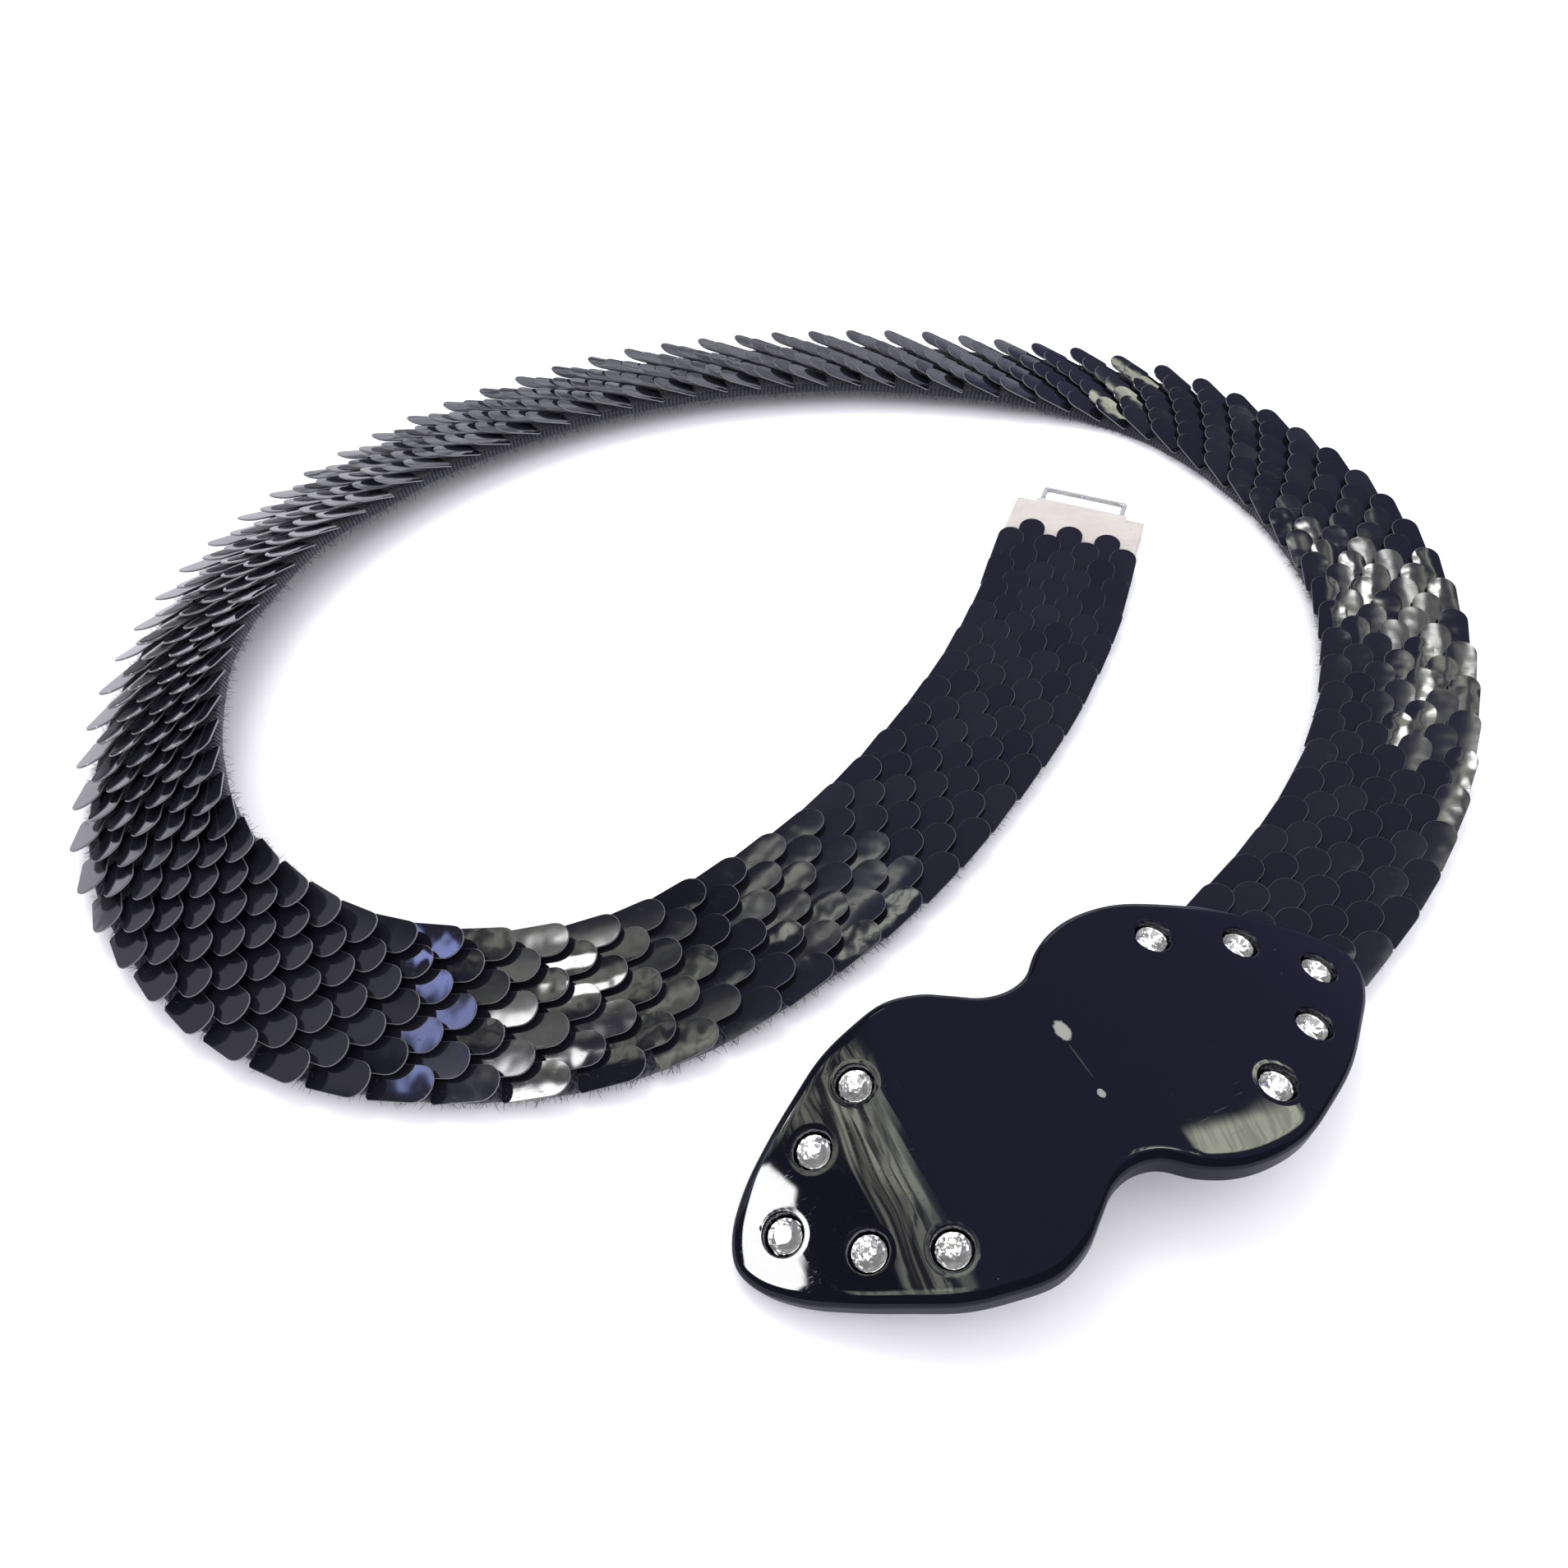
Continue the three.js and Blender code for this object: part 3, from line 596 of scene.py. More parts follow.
def scale_blank():
    side, outline = scale_outline()
    half, rim = SCALE["thick"] / 2, SCALE["rim"]
    middle = Vector((side[-1].x / 2, 0))
    rows = []
    for inset, height in ((rim, -half), (0, -half + rim), (0, half - rim), (rim, half)):
        inward = [(middle - spot).normalized() * inset * SCALE["rim_slope"] for spot in outline]
        rows.append([(s.x + i.x, s.y + i.y, height + crown_at(s.y)) for s, i in zip(outline, inward)])
    points, rings, faces = skin(rows)
    last = len(side) - 1
    for ring, height in ((rings[0], -half), (rings[-1], half)):
        centre = []
        for i in range(last):
            one, two = points[ring[i]], points[ring[-1 - i]]
            centre.append(len(points))
            points.append(((one[0] + two[0]) / 2, 0, height + SCALE["crown"]))
        centre.append(ring[last])
        # The last quad on each side has the tip as two of its corners, and closes to a triangle.
        for i in range(last):
            for near, far in ((ring[i], ring[i + 1]), (ring[-1 - i], ring[-2 - i])):
                faces.append(tuple(dict.fromkeys((near, centre[i], centre[i + 1], far))))
        faces.append((ring[0], centre[0], ring[-1]))
    blank = new_piece("scale_blank", points, faces)
    face_outward(blank, merge=SCALE["doubled"])
    places = [vertex.co for vertex in blank.data.vertices]
    store(blank, "on_rim", "FLOAT", [float(abs(p.z - crown_at(p.y)) < half - rim / 2) for p in places])
    return blank


blank = scale_blank()
print("faces on one scale:", len(blank.data.polygons))

# %% [markdown]
# ## Scales: rows on the band
# Rows of four and of three scales follow each other every 5 mm, like roof tiles, each tip lying over the roots of
# the next row, and where the band turns tightly the rows are gathered closer. Copying 612 scales by hand or with
# an array would ignore how the band turns and leans. Here a mesh of bare points holds where each root sits and how
# it is turned, and a Geometry Nodes tree puts a blank on each point and adds the small errors of hand work: no two
# scales point quite the same way, which is why a patch of them breaks one reflection into many.

# %% Where the scales sit
FIELD = {
    "start": 12.8 * MM, "over_end": 0.8 * MM, "pitch": 5.0 * MM, "column": 4.1 * MM, "split": 421.5 * MM,
    "gap": 0.55 * MM, "base": 0.55 * MM, "reach": 10.0 * MM, "root_gap": 0.15 * MM,
    "ramp_from": 10 * MM, "ramp_to": 2 * MM,
}
END_PLATE = {
    "lap": 5 * MM, "length": 11.3 * MM, "width": 31 * MM, "top": 3.7 * MM, "foot": 0.3 * MM, "sheet": 0.8 * MM,
    "bevel": 0.35 * MM, "bevel_steps": 3, "tongue": 22 * MM, "tongue_reach": 1.5 * MM, "plate_gap": 0.3 * MM,
    "smooth_below": math.radians(40),
}
FULL_ROW = (-3, -1, 1, 3)
SHORT_ROW = (-2, 0, 2)
GATHERS = (
    {"from": 330 * MM, "to": 520 * MM, "by": 4.5 * MM},
    {"from": 490 * MM, "to": 650 * MM, "by": 15 * MM},
    {"from": 600 * MM, "to": 715 * MM, "by": 15 * MM},
)
ROOT_ROUNDS = 3


def field_floor(along):
    on_knit = BAND["thick"] + FIELD["gap"]
    on_plate = END_PLATE["top"] + END_PLATE["plate_gap"]
    plate_start = route_length - END_PLATE["lap"]
    part = smoothstep(along, plate_start - FIELD["ramp_from"], plate_start - FIELD["ramp_to"])
    return on_knit * (1 - part) + on_plate * part


def gathered(along):
    """How far the rows have crowded together up to a distance along the band."""
    return sum(gather["by"] * smoothstep(along, gather["from"], gather["to"]) for gather in GATHERS)


def scale_seats(first_row, last_row):
    """Root places and turns of the scales of some rows. The root's height and place are found in a few rounds."""
    seats = [
        (FIELD["start"] + (row + 1) * FIELD["pitch"], column * FIELD["column"])
        for row in range(first_row, last_row + 1) for column in (FULL_ROW if row % 2 else SHORT_ROW)
    ]
    even, sides = np.array(seats).T
    straight = even - gathered(even)
    inside = np.clip(straight, 0, route_length)
    across = sides * route_value("spread", inside)
    tips = straight + across * route_value("skew", inside)
    lift = np.radians(route_value("lift", inside))
    twist = np.radians(route_value("twist", inside))
    tip_height = field_floor(tips) + FIELD["base"] + FIELD["reach"] * np.sin(lift)
    roots = tips - SCALE["length"]
    for _ in range(ROOT_ROUNDS):
        root_height = field_floor(roots) - FIELD["gap"] + FIELD["root_gap"]
        pitch = np.arcsin((tip_height - root_height) / SCALE["length"])
        roots = tips - SCALE["length"] * np.cos(pitch)
    middle, ahead, inward, up = band_frame(roots)
    points = middle + across[:, None] * inward + root_height[:, None] * up
    turns = []
    for i, tilt in enumerate(pitch):
        base = Matrix((ahead[i], inward[i], up[i])).transposed()
        turn = base @ Matrix.Rotation(-tilt, 3, "Y") @ Matrix.Rotation(-twist[i], 3, "X")
        turns.append(tuple(turn.to_euler()))
    return points, turns


even_length = route_length + FIELD["over_end"] + gathered(route_length) - FIELD["start"]
last_row = round(even_length / FIELD["pitch"]) - 1
split_row = round((FIELD["split"] - FIELD["start"]) / FIELD["pitch"])
print("rows:", last_row + 1, "split after row", split_row)

# %% Helpers for trees that set blanks
def new_tree(name, output, **inputs):
    """A Geometry Nodes tree. inputs: the kind of socket of each of its named inputs."""
    tree = bpy.data.node_groups.new(name, "GeometryNodeTree")
    for label, kind in spaced(inputs).items():
        tree.interface.new_socket(label, in_out="INPUT", socket_type=f"NodeSocket{kind}")
    tree.interface.new_socket(output, in_out="OUTPUT", socket_type="NodeSocketGeometry")
    return tree, tree.nodes.new("NodeGroupInput").outputs


def random_turn(tree, rotation, most, seed):
    """Adds a turn about each own axis, drawn between -most and most, to a rotation."""
    most = add_node(tree, "ShaderNodeCombineXYZ", dict(zip("XYZ", most))).outputs[0]
    least = on_vectors(tree, "SCALE", most, Scale=-1.0)
    drawn = add_node(
        tree, "FunctionNodeRandomValue", {"Min": least, "Max": most, "Seed": seed}, data_type="FLOAT_VECTOR",
    ).outputs[0]
    turn = add_node(tree, "FunctionNodeEulerToRotation", {0: drawn}).outputs[0]
    return add_node(
        tree, "FunctionNodeRotateRotation", {0: rotation, 1: turn}, rotation_space="LOCAL",
    ).outputs[0]


def set_blanks(tree, given, spots, rotation, **size):
    blank = add_node(tree, "GeometryNodeObjectInfo", {"Object": given["Blank"]}).outputs["Geometry"]
    inputs = {"Points": spots, "Instance": blank, "Rotation": rotation, **size}
    return add_node(tree, "GeometryNodeInstanceOnPoints", inputs).outputs[0]


def end_tree(tree, given, placed):
    real = add_node(tree, "GeometryNodeRealizeInstances", {0: placed}).outputs[0]
    end_group(tree, add_node(
        tree, "GeometryNodeSetMaterial", {"Geometry": real, "Material": given["Material"]},
    ).outputs[0])


def apply_tree(piece, tree, **inputs):
    modifier = piece.modifiers.new(tree.name, "NODES")
    modifier.node_group = tree
    sockets = {item.name: item.identifier for item in tree.interface.items_tree if item.in_out == "INPUT"}
    for label, value in spaced(inputs).items():
        modifier[sockets[label]] = value
    print(tree.name, "takes", list(sockets))
    make_plain(piece)


print("tree helpers ready")

# %% Tree that sets the scales
set_scales, given = new_tree(
    "set_scales", "Scales", Points="Geometry", Blank="Object", Pitch_error="Float", Twist_error="Float",
    Yaw_error="Float", Seed="Int", Material="Material",
)
turn = add_node(set_scales, "GeometryNodeInputNamedAttribute", {"Name": "turn"}, data_type="FLOAT_VECTOR").outputs[0]
straight = add_node(set_scales, "FunctionNodeEulerToRotation", {0: turn}).outputs[0]
errors = [given[f"{way} error"] for way in ("Twist", "Pitch", "Yaw")]
placed = set_blanks(set_scales, given, given["Points"], random_turn(set_scales, straight, errors, given["Seed"]))
shade = add_node(set_scales, "FunctionNodeRandomValue", {"Seed": given["Seed"]}, data_type="FLOAT").outputs[1]
shaded = add_node(
    set_scales, "GeometryNodeStoreNamedAttribute", {"Geometry": placed, "Name": "shade", "Value": shade},
    data_type="FLOAT", domain="INSTANCE",
).outputs[0]
end_tree(set_scales, given, shaded)
print("nodes in the tree:", len(set_scales.nodes))

# %% [markdown]
# ## Scale finish
# The plastic is black through and through and polished, so nearly all that shows is mirrored light. The base is
# close to black with a trace of blue, a low bump lets each mirror bend a little, and the moulded rim is less polished
# and painted a lighter grey, a painted glint for the light its rounded edge catches. Each scale has a shade of its
# own, drawn by the tree, that makes it a little duller or glossier.

# %% Glossy black scale plastic
SCALE_FINISH = {
    "black": (0.006, 0.006, 0.009, 1), "other_black": (0.010, 0.010, 0.014, 1), "rim": (0.17, 0.17, 0.178, 1),
    "gloss": (0.04, 0.1), "dull_rim": 0.06, "scratches": 0.5, "dull_scratch": 0.2,
    "waves_per_m": 210.0, "wave": 0.05 * MM,
}
scale_plastic, tree, shader, coordinates = new_material("scale_plastic", IOR=1.5)
shade, on_rim = kept_value(tree, "shade"), kept_value(tree, "on_rim")
body_colour = mix_colours(tree, shade, SCALE_FINISH["black"], SCALE_FINISH["other_black"])
scratches = place_group(tree, scratched, Vector=coordinates, Amount=SCALE_FINISH["scratches"])
dull = fade(tree, shade, 0.0, 1.0, *SCALE_FINISH["gloss"])
dull = calculate(tree, "MULTIPLY_ADD", on_rim, SCALE_FINISH["dull_rim"], dull)
low_waves = place_group(tree, wavy, Vector=coordinates, Per_metre=SCALE_FINISH["waves_per_m"])
# The rim is painted a lighter grey: a painted glint along the moulded edge, beside its duller polish.
plug(tree, shader, {
    "Base Color": mix_colours(tree, on_rim, body_colour, SCALE_FINISH["rim"]),
    "Roughness": calculate(tree, "MULTIPLY_ADD", scratches, SCALE_FINISH["dull_scratch"], dull),
    "Normal": add_bump(tree, low_waves, SCALE_FINISH["wave"]),
})
print("made", scale_plastic.name)

# %% Set the scales
ERRORS = {"Pitch_error": math.radians(1.0), "Twist_error": math.radians(1.6), "Yaw_error": math.radians(1.5)}
HALVES = (("head", 0, split_row, 3), ("tail", split_row + 1, last_row, 8))
for name, first, last, seed in HALVES:
    points, turns = scale_seats(first, last)
    scales = new_piece(f"glossy_scales_{name}", points, [])
    store(scales, "turn", "FLOAT_VECTOR", turns)
    apply_tree(scales, set_scales, Blank=blank, Seed=seed, Material=scale_plastic, **ERRORS)
    smooth(scales)
    hand_over(scales, "scales", f"scales_{name}")
bpy.data.objects.remove(blank)
print("scales set")

# %% [markdown]
# ## Knit band
# The band is a ribbed elastic knit, 28 mm wide and under 3 mm thick, whose wales run lengthwise. A plain ribbon with
# a bump would look flat where its edge shows along the inside of the loop, so the ribbon is swept along the route
# with real ribs on both faces and a slightly uneven edge, and the single stitches are left to the bump. It is a
# sheet of cloth lying on the table.

# %% Ribbed ribbon
RIB = {
    "pitch": 2.3 * MM, "height": 0.22 * MM, "points": 37, "step": 0.95 * MM, "fuzzy_from": 0.86,
    "edge_error": 0.14 * MM, "deviations": 1.5, "evened_over": 9, "seed": 5, "smooth_below": math.radians(60),
}
knit_end = route_length + END_PLATE["length"] - END_PLATE["sheet"] - END_PLATE["plate_gap"]
half_width, thick, corner = BAND["width"] / 2, BAND["thick"], BAND["corner"]
face_across = np.linspace(corner - half_width, half_width - corner, RIB["points"])
rib_dip = RIB["height"] * (0.5 - 0.5 * np.cos(2 * np.pi * face_across / RIB["pitch"]))
cut_off = corner * (1 - math.sqrt(0.5))
side_up = np.array([cut_off, corner, thick / 2, thick - corner, thick - cut_off])
side_out = half_width - np.array([cut_off, 0, 0, 0, cut_off])
section_across = np.concatenate([face_across, side_out, face_across[::-1], -side_out])
section_up = np.concatenate([rib_dip, side_up, thick - rib_dip[::-1], side_up[::-1]])
near_edge, on_side = np.abs(face_across) > RIB["fuzzy_from"] * half_width, np.ones(len(side_up))
edge_zone = np.concatenate([near_edge, on_side, near_edge, on_side])

rng = np.random.default_rng(RIB["seed"])
knit_places = np.linspace(0, knit_end, int(knit_end / RIB["step"]))
over = RIB["evened_over"]
uneven = np.convolve(rng.normal(0, 1, len(knit_places) + over - 1), np.ones(over) / math.sqrt(over), "valid")
rows = []
for along, error in zip(knit_places, uneven * RIB["edge_error"] / RIB["deviations"]):
    rows.append(on_band(np.full(len(section_up), along), section_across * (1 + error / half_width), section_up))
knit = capped("ribbed_knit", rows)
store(knit, "edge_zone", "FLOAT", np.tile(edge_zone, len(rows)))
lie = [np.tile(values, len(rows)) for values in (section_across, section_up)]
store(knit, "lie", "FLOAT_VECTOR", np.column_stack([np.repeat(knit_places, len(section_up)), *lie]))
smooth(knit, RIB["smooth_below"])
print("knit length:", round(knit_end, 4), "m")

# %% [markdown]
# ## Yarn finish and loose fibres
# The yarn is dull charcoal wool. Its stitches are rows of small V shapes: two slanted waves that meet in the middle
# of each wale. They are drawn in the ribbon's own lengthwise and crosswise distances, kept as an attribute, so that
# they follow every turn. A whole metre is added to the crosswise distance first, so that it is never below zero.
# Along the edges, fine fibres stand out as a soft fuzz, which Geometry Nodes scatter over the edge with random
# length, lean and turn.

# %% Charcoal yarn
YARN = {
    "dark": (0.008, 0.008, 0.013, 1), "light": (0.045, 0.045, 0.06, 1), "stitch": 1.15 * MM, "slant": 0.8,
    "fluff_per_m": 2600.0, "stitch_share": 0.3, "contrast": (0.1, 0.9), "bump": 0.25 * MM,
}
yarn, tree, shader, coordinates = new_material(
    "charcoal_yarn", Roughness=0.95, Sheen_Weight=0.25, Sheen_Roughness=0.5, Specular_IOR_Level=0.2,
)
lie_axes = axes_of(tree, kept_value(tree, "lie", "Vector"))
in_wale = calculate(tree, "PINGPONG", calculate(tree, "ADD", lie_axes["Y"], 1.0), RIB["pitch"] / 2)
slanted = calculate(tree, "MULTIPLY_ADD", in_wale, YARN["slant"], lie_axes["X"])
stitches = calculate(tree, "SINE", calculate(tree, "MULTIPLY", slanted, 2 * math.pi / YARN["stitch"]))
fluff = noise(tree, coordinates, YARN["fluff_per_m"], Detail=3.0, Roughness=0.7)
tangled = calculate(tree, "MULTIPLY_ADD", stitches, YARN["stitch_share"], fluff)
# Light on stitch crests, dark in hollows, like the bump: painted shade mixed with the yarn's own uneven tone.
lit = fade(tree, tangled, *YARN["contrast"], 0.0, 1.0)
plug(tree, shader, {
    "Base Color": mix_colours(tree, lit, YARN["dark"], YARN["light"]),
    "Normal": add_bump(tree, tangled, YARN["bump"]),
})
finish_with(knit, yarn)
print("made", yarn.name)

# %% Fibre and fuzz tree
FUZZ = {
    "per_m2": 1.25e6, "shortest": 0.7 * MM, "longest": 2.1 * MM, "lean": 0.7, "thick": 0.03, "rings": 3, "sides": 3,
    "bend": 0.35, "taper": 0.5, "seed": 11,
}


def fibre_blank():
    """A bent hair one unit long that closes in a point."""
    rows = []
    for ring in range(FUZZ["rings"]):
        part = ring / FUZZ["rings"]
        bend = Vector((FUZZ["bend"] * part**2, 0, 0))
        rows.append([bend + spot for spot in circle(FUZZ["thick"] * (1 - FUZZ["taper"] * part), part, FUZZ["sides"])])
    points, rings, faces = skin(rows)
    faces += [(rings[-1][i], rings[-1][(i + 1) % FUZZ["sides"]], len(points)) for i in range(FUZZ["sides"])]
    return new_piece("fibre_blank", points + [(FUZZ["bend"], 0, 1)], faces + [rings[0][::-1]])


set_fuzz, given = new_tree(
    "set_fuzz", "Fibres", Cloth="Geometry", Blank="Object", Per_square_metre="Float", Shortest="Float",
    Longest="Float", Lean="Float", Seed="Int", Material="Material",
)
zone = add_node(set_fuzz, "GeometryNodeInputNamedAttribute", {"Name": "edge_zone"}, data_type="FLOAT").outputs[0]
density = calculate(set_fuzz, "MULTIPLY", zone, given["Per square metre"])
spots = add_node(
    set_fuzz, "GeometryNodeDistributePointsOnFaces",
    {"Mesh": given["Cloth"], "Density": density, "Seed": given["Seed"]},
).outputs
leaning = random_turn(set_fuzz, spots["Rotation"], (given["Lean"], given["Lean"], math.pi), given["Seed"])
size = add_node(
    set_fuzz, "FunctionNodeRandomValue", {2: given["Shortest"], 3: given["Longest"], "Seed": given["Seed"]},
    data_type="FLOAT",
).outputs[1]
end_tree(set_fuzz, given, set_blanks(set_fuzz, given, spots["Points"], leaning, Scale=size))
print("nodes in the tree:", len(set_fuzz.nodes))

# %% Set the fuzz
fibre = fibre_blank()
fibre_size = len(fibre.data.vertices)
fuzz = add_object("knit_fuzz", knit.data.copy())
apply_tree(
    fuzz, set_fuzz, Blank=fibre, Per_square_metre=FUZZ["per_m2"], Shortest=FUZZ["shortest"],
    Longest=FUZZ["longest"], Lean=FUZZ["lean"], Seed=FUZZ["seed"], Material=yarn,
)
bpy.data.objects.remove(fibre)
hand_over(knit, "knit", "knit_band")
hand_over(fuzz, "knit")
print("fibres:", len(fuzz.data.vertices) // fibre_size)

# %% [markdown]
# ## Medallion: shape
# The medallion is a 5 mm sheet of black acrylic, sawn to two lobes with a waist and bowed while warm, so that it
# spans the buckle area like a saddle. Its top is a mirror, and a mirror shows every facet. The outline is therefore a
# smooth closed curve through two dozen places per side, the rim is a true quarter round, and the top is made of
# narrow strips that run straight across, because the sheet bends only along its length.

# %% Medallion outline and bow
PLATE = {
    "place": (0.046, -0.1014, 0.0172), "yaw": 27.1, "bow": 161.7 * MM, "thick": 4.8 * MM, "round": 1.5 * MM,
    "foot_round": 0.6 * MM, "half_steps": 110, "round_steps": 7, "foot_steps": 3, "flat_ring": 0.9 * MM,
}
OUTLINE = (
    (-0.0653, 0), (-0.0638, 0.0043), (-0.0594, 0.0090), (-0.0534, 0.0132), (-0.0468, 0.0171), (-0.0403, 0.0206),
    (-0.0342, 0.0225), (-0.0274, 0.0236), (-0.0216, 0.0220), (-0.0176, 0.0194), (-0.0137, 0.0169),
    (-0.0097, 0.0161), (-0.0058, 0.0170), (-0.0018, 0.0202), (0.0029, 0.0225), (0.0086, 0.0235),
    (0.0158, 0.0229), (0.0240, 0.0199), (0.0317, 0.0163), (0.0400, 0.0108), (0.0454, 0.0069),
    (0.0486, 0.0035), (0.0499, 0),
)
medallion_place = Matrix.Translation(PLATE["place"]) @ Matrix.Rotation(math.radians(PLATE["yaw"]), 4, "Z")


def on_bow(along, across, up):
    angle, radius = along / PLATE["bow"], PLATE["bow"] + up
    return Vector((radius * math.sin(angle), across, radius * math.cos(angle) - PLATE["bow"]))


def closed_curve_point(knots, step):
    """A point of the smooth closed curve through the knots; knots that stand close together bend it less."""
    index = int(step)
    p = [knots[(index + shift) % len(knots)] for shift in (-1, 0, 1, 2)]
    gaps = [math.sqrt((p[i + 1] - p[i]).length) for i in range(3)]
    leave = (p[1] - p[0]) / gaps[0] - (p[2] - p[0]) / (gaps[0] + gaps[1]) + (p[2] - p[1]) / gaps[1]
    arrive = (p[2] - p[1]) / gaps[1] - (p[3] - p[1]) / (gaps[1] + gaps[2]) + (p[3] - p[2]) / gaps[2]
    return cubic_point(step - index, p[1], p[2], leave * gaps[1], arrive * gaps[1])


def half_outline():
    one_side = [Vector(knot) for knot in OUTLINE]
    knots = one_side + mirror_image(one_side[1:-1])
    count = PLATE["half_steps"]
    spots = [closed_curve_point(knots, i / count * (len(one_side) - 1)) for i in range(count + 1)]
    return [Vector((spot.x, max(spot.y, 0))) for spot in spots]


def moved_in(half, inset):
    """The half outline moved inwards along its own normals."""
    before, after = mirror_image(half[1:2]) + half[:-1], half[1:] + mirror_image(half[-2:-1])
    moved = []
    for spot, one, two in zip(half, before, after):
        heading = (two - one).normalized()
        moved.append(Vector((spot.x + inset * heading.y, max(spot.y - inset * heading.x, 0))))
    return moved


print("medallion length:", round(OUTLINE[-1][0] - OUTLINE[0][0], 4), "m")

# %% Medallion body
def rim_profile():
    """Inset and height of each ring, from the underside up round the rim to the flat top."""
    foot, top, flat = PLATE["foot_round"], PLATE["round"], PLATE["flat_ring"]
    rows = [(foot * (1 - s), foot * (1 - c) - PLATE["thick"]) for s, c in quarter_turn(PLATE["foot_steps"])]
    rows += [(top * (1 - c), -top * (1 - s)) for s, c in quarter_turn(PLATE["round_steps"])]
    return [(rows[0][0] + flat, rows[0][1])] + rows + [(rows[-1][0] + flat, 0.0)]


def medallion_body():
    half = half_outline()
    rows = []
    for inset, up in rim_profile():
        side = moved_in(half, inset)
        rows.append([medallion_place @ on_bow(*spot, up) for spot in side + mirror_image(side[1:-1])])
    points, rings, faces = skin(rows)
    last = len(half) - 1
    for ring in (rings[0], rings[-1]):
        faces.append((ring[0], ring[1], ring[-1]))
        faces += [(ring[i], ring[i + 1], ring[-i - 1], ring[-i]) for i in range(1, last - 1)]
        faces.append((ring[last - 1], ring[last], ring[last + 1]))
    body = new_piece("acrylic_medallion", points, faces)
    face_outward(body)
    return body


medallion = medallion_body()
print("medallion faces before the seats:", len(medallion.data.polygons))

# %% [markdown]
# ## Medallion: seats for the stones
# Each stone sits in a blind hole with a cone-shaped mouth whose lip is polished round. The lip is what draws the
# thin bright ring seen around each stone. The holes could be modelled into the top's faces, but ten turned cutters
# and one boolean cut give exact circles on the bowed top. Weighted normals afterwards keep the big flat strips
# ruling the shading, so that the cuts don't dent the reflections beside them.

# %% Places of the stones
STONES = ((-0.0570, 0), (-0.0478, 0.0083), (-0.0377, 0.0138), (0.0406, 0), (0.0307, 0.0085), (0.0172, 0.0146))
stone_places = [(along, way * side) for along, side in STONES for way in ((1, -1) if side else (1,))]
SEAT = {
    "throat": 2.7 * MM, "ledge": 1.0 * MM, "mouth": 3.0 * MM, "lip": 0.32 * MM, "depth": 2.3 * MM,
    "above": 1.0 * MM, "sides": 48, "lip_steps": 5, "smooth_below": math.radians(35), "flat_weight": 80,
}


def stone_matrix(along, across):
    tilt = Matrix.Rotation(along / PLATE["bow"], 4, "Y")
    return medallion_place @ Matrix.Translation(on_bow(along, across, 0)) @ tilt


def turned(profile, sides, matrix):
    """Points and faces of a shape turned about its own Z axis, from a profile that starts and ends on the axis."""
    points, rings, faces = skin([circle(radius, up, sides) for radius, up in profile[1:-1]], first=1)
    points = [Vector((0, 0, profile[0][1]))] + points + [Vector((0, 0, profile[-1][1]))]
    for side in range(sides):
        after = (side + 1) % sides
        faces.append((0, rings[0][after], rings[0][side]))
        faces.append((len(points) - 1, rings[-1][side], rings[-1][after]))
    return [matrix @ point for point in points], faces


def seat_profile():
    lip, mouth, throat, floor = SEAT["lip"], SEAT["mouth"], SEAT["throat"], -SEAT["depth"]
    rows = [(0, floor), (throat, floor), (throat, -SEAT["ledge"])]
    rows += [(mouth + lip * (1 - c), lip * (s - 1)) for s, c in quarter_turn(SEAT["lip_steps"])]
    return rows + [(mouth + lip, SEAT["above"]), (0, SEAT["above"])]


print("stones:", len(stone_places))

# %% Cut the seats
def combine(piece, tool, **settings):
    """Cuts a tool out of a piece, or joins it on, and removes the tool."""
    apply_modifier(piece, "BOOLEAN", solver="EXACT", object=tool, **settings)
    bpy.data.objects.remove(tool)


points, faces = [], []
for along, across in stone_places:
    more_points, more_faces = turned(seat_profile(), SEAT["sides"], stone_matrix(along, across))
    faces += [tuple(corner + len(points) for corner in face) for face in more_faces]
    points += more_points
seat_cutters = new_piece("seat_cutters", points, faces)
face_outward(seat_cutters)
combine(medallion, seat_cutters, operation="DIFFERENCE")
smooth(medallion, SEAT["smooth_below"])
apply_modifier(medallion, "WEIGHTED_NORMAL", keep_sharp=True, weight=SEAT["flat_weight"])
print("medallion faces with the seats:", len(medallion.data.polygons))

# %% [markdown]
# ## Medallion: polished black acrylic
# Acrylic is a clear-edged plastic dyed black. Its top is a mirror with long lazy ripples, a dip around each seat
# that pulls reflections inwards, hair scratches, a few specks, and a dried oval of old glue with a smaller dot
# beyond the waist and a thin trace between the two. The dips are worked out from the distance to the nearest
# stone, and the stains from ellipses on the medallion's own axes, which a Mapping node lines up.

# %% Dips round the seats and old glue
seat_dips, given = new_group("seat_dips", "Height", Vector=None, Reach=1.6 * MM)
nearest = 1.0
for along, across in stone_places:
    away = on_vectors(seat_dips, "DISTANCE", given["Vector"], stone_matrix(along, across).translation)
    nearest = calculate(seat_dips, "MINIMUM", away, nearest)
part = calculate(seat_dips, "DIVIDE", calculate(seat_dips, "SUBTRACT", nearest, SEAT["mouth"]), given["Reach"])
end_group(seat_dips, fade(seat_dips, part, 0.0, 1.0, 0.0, 1.0))

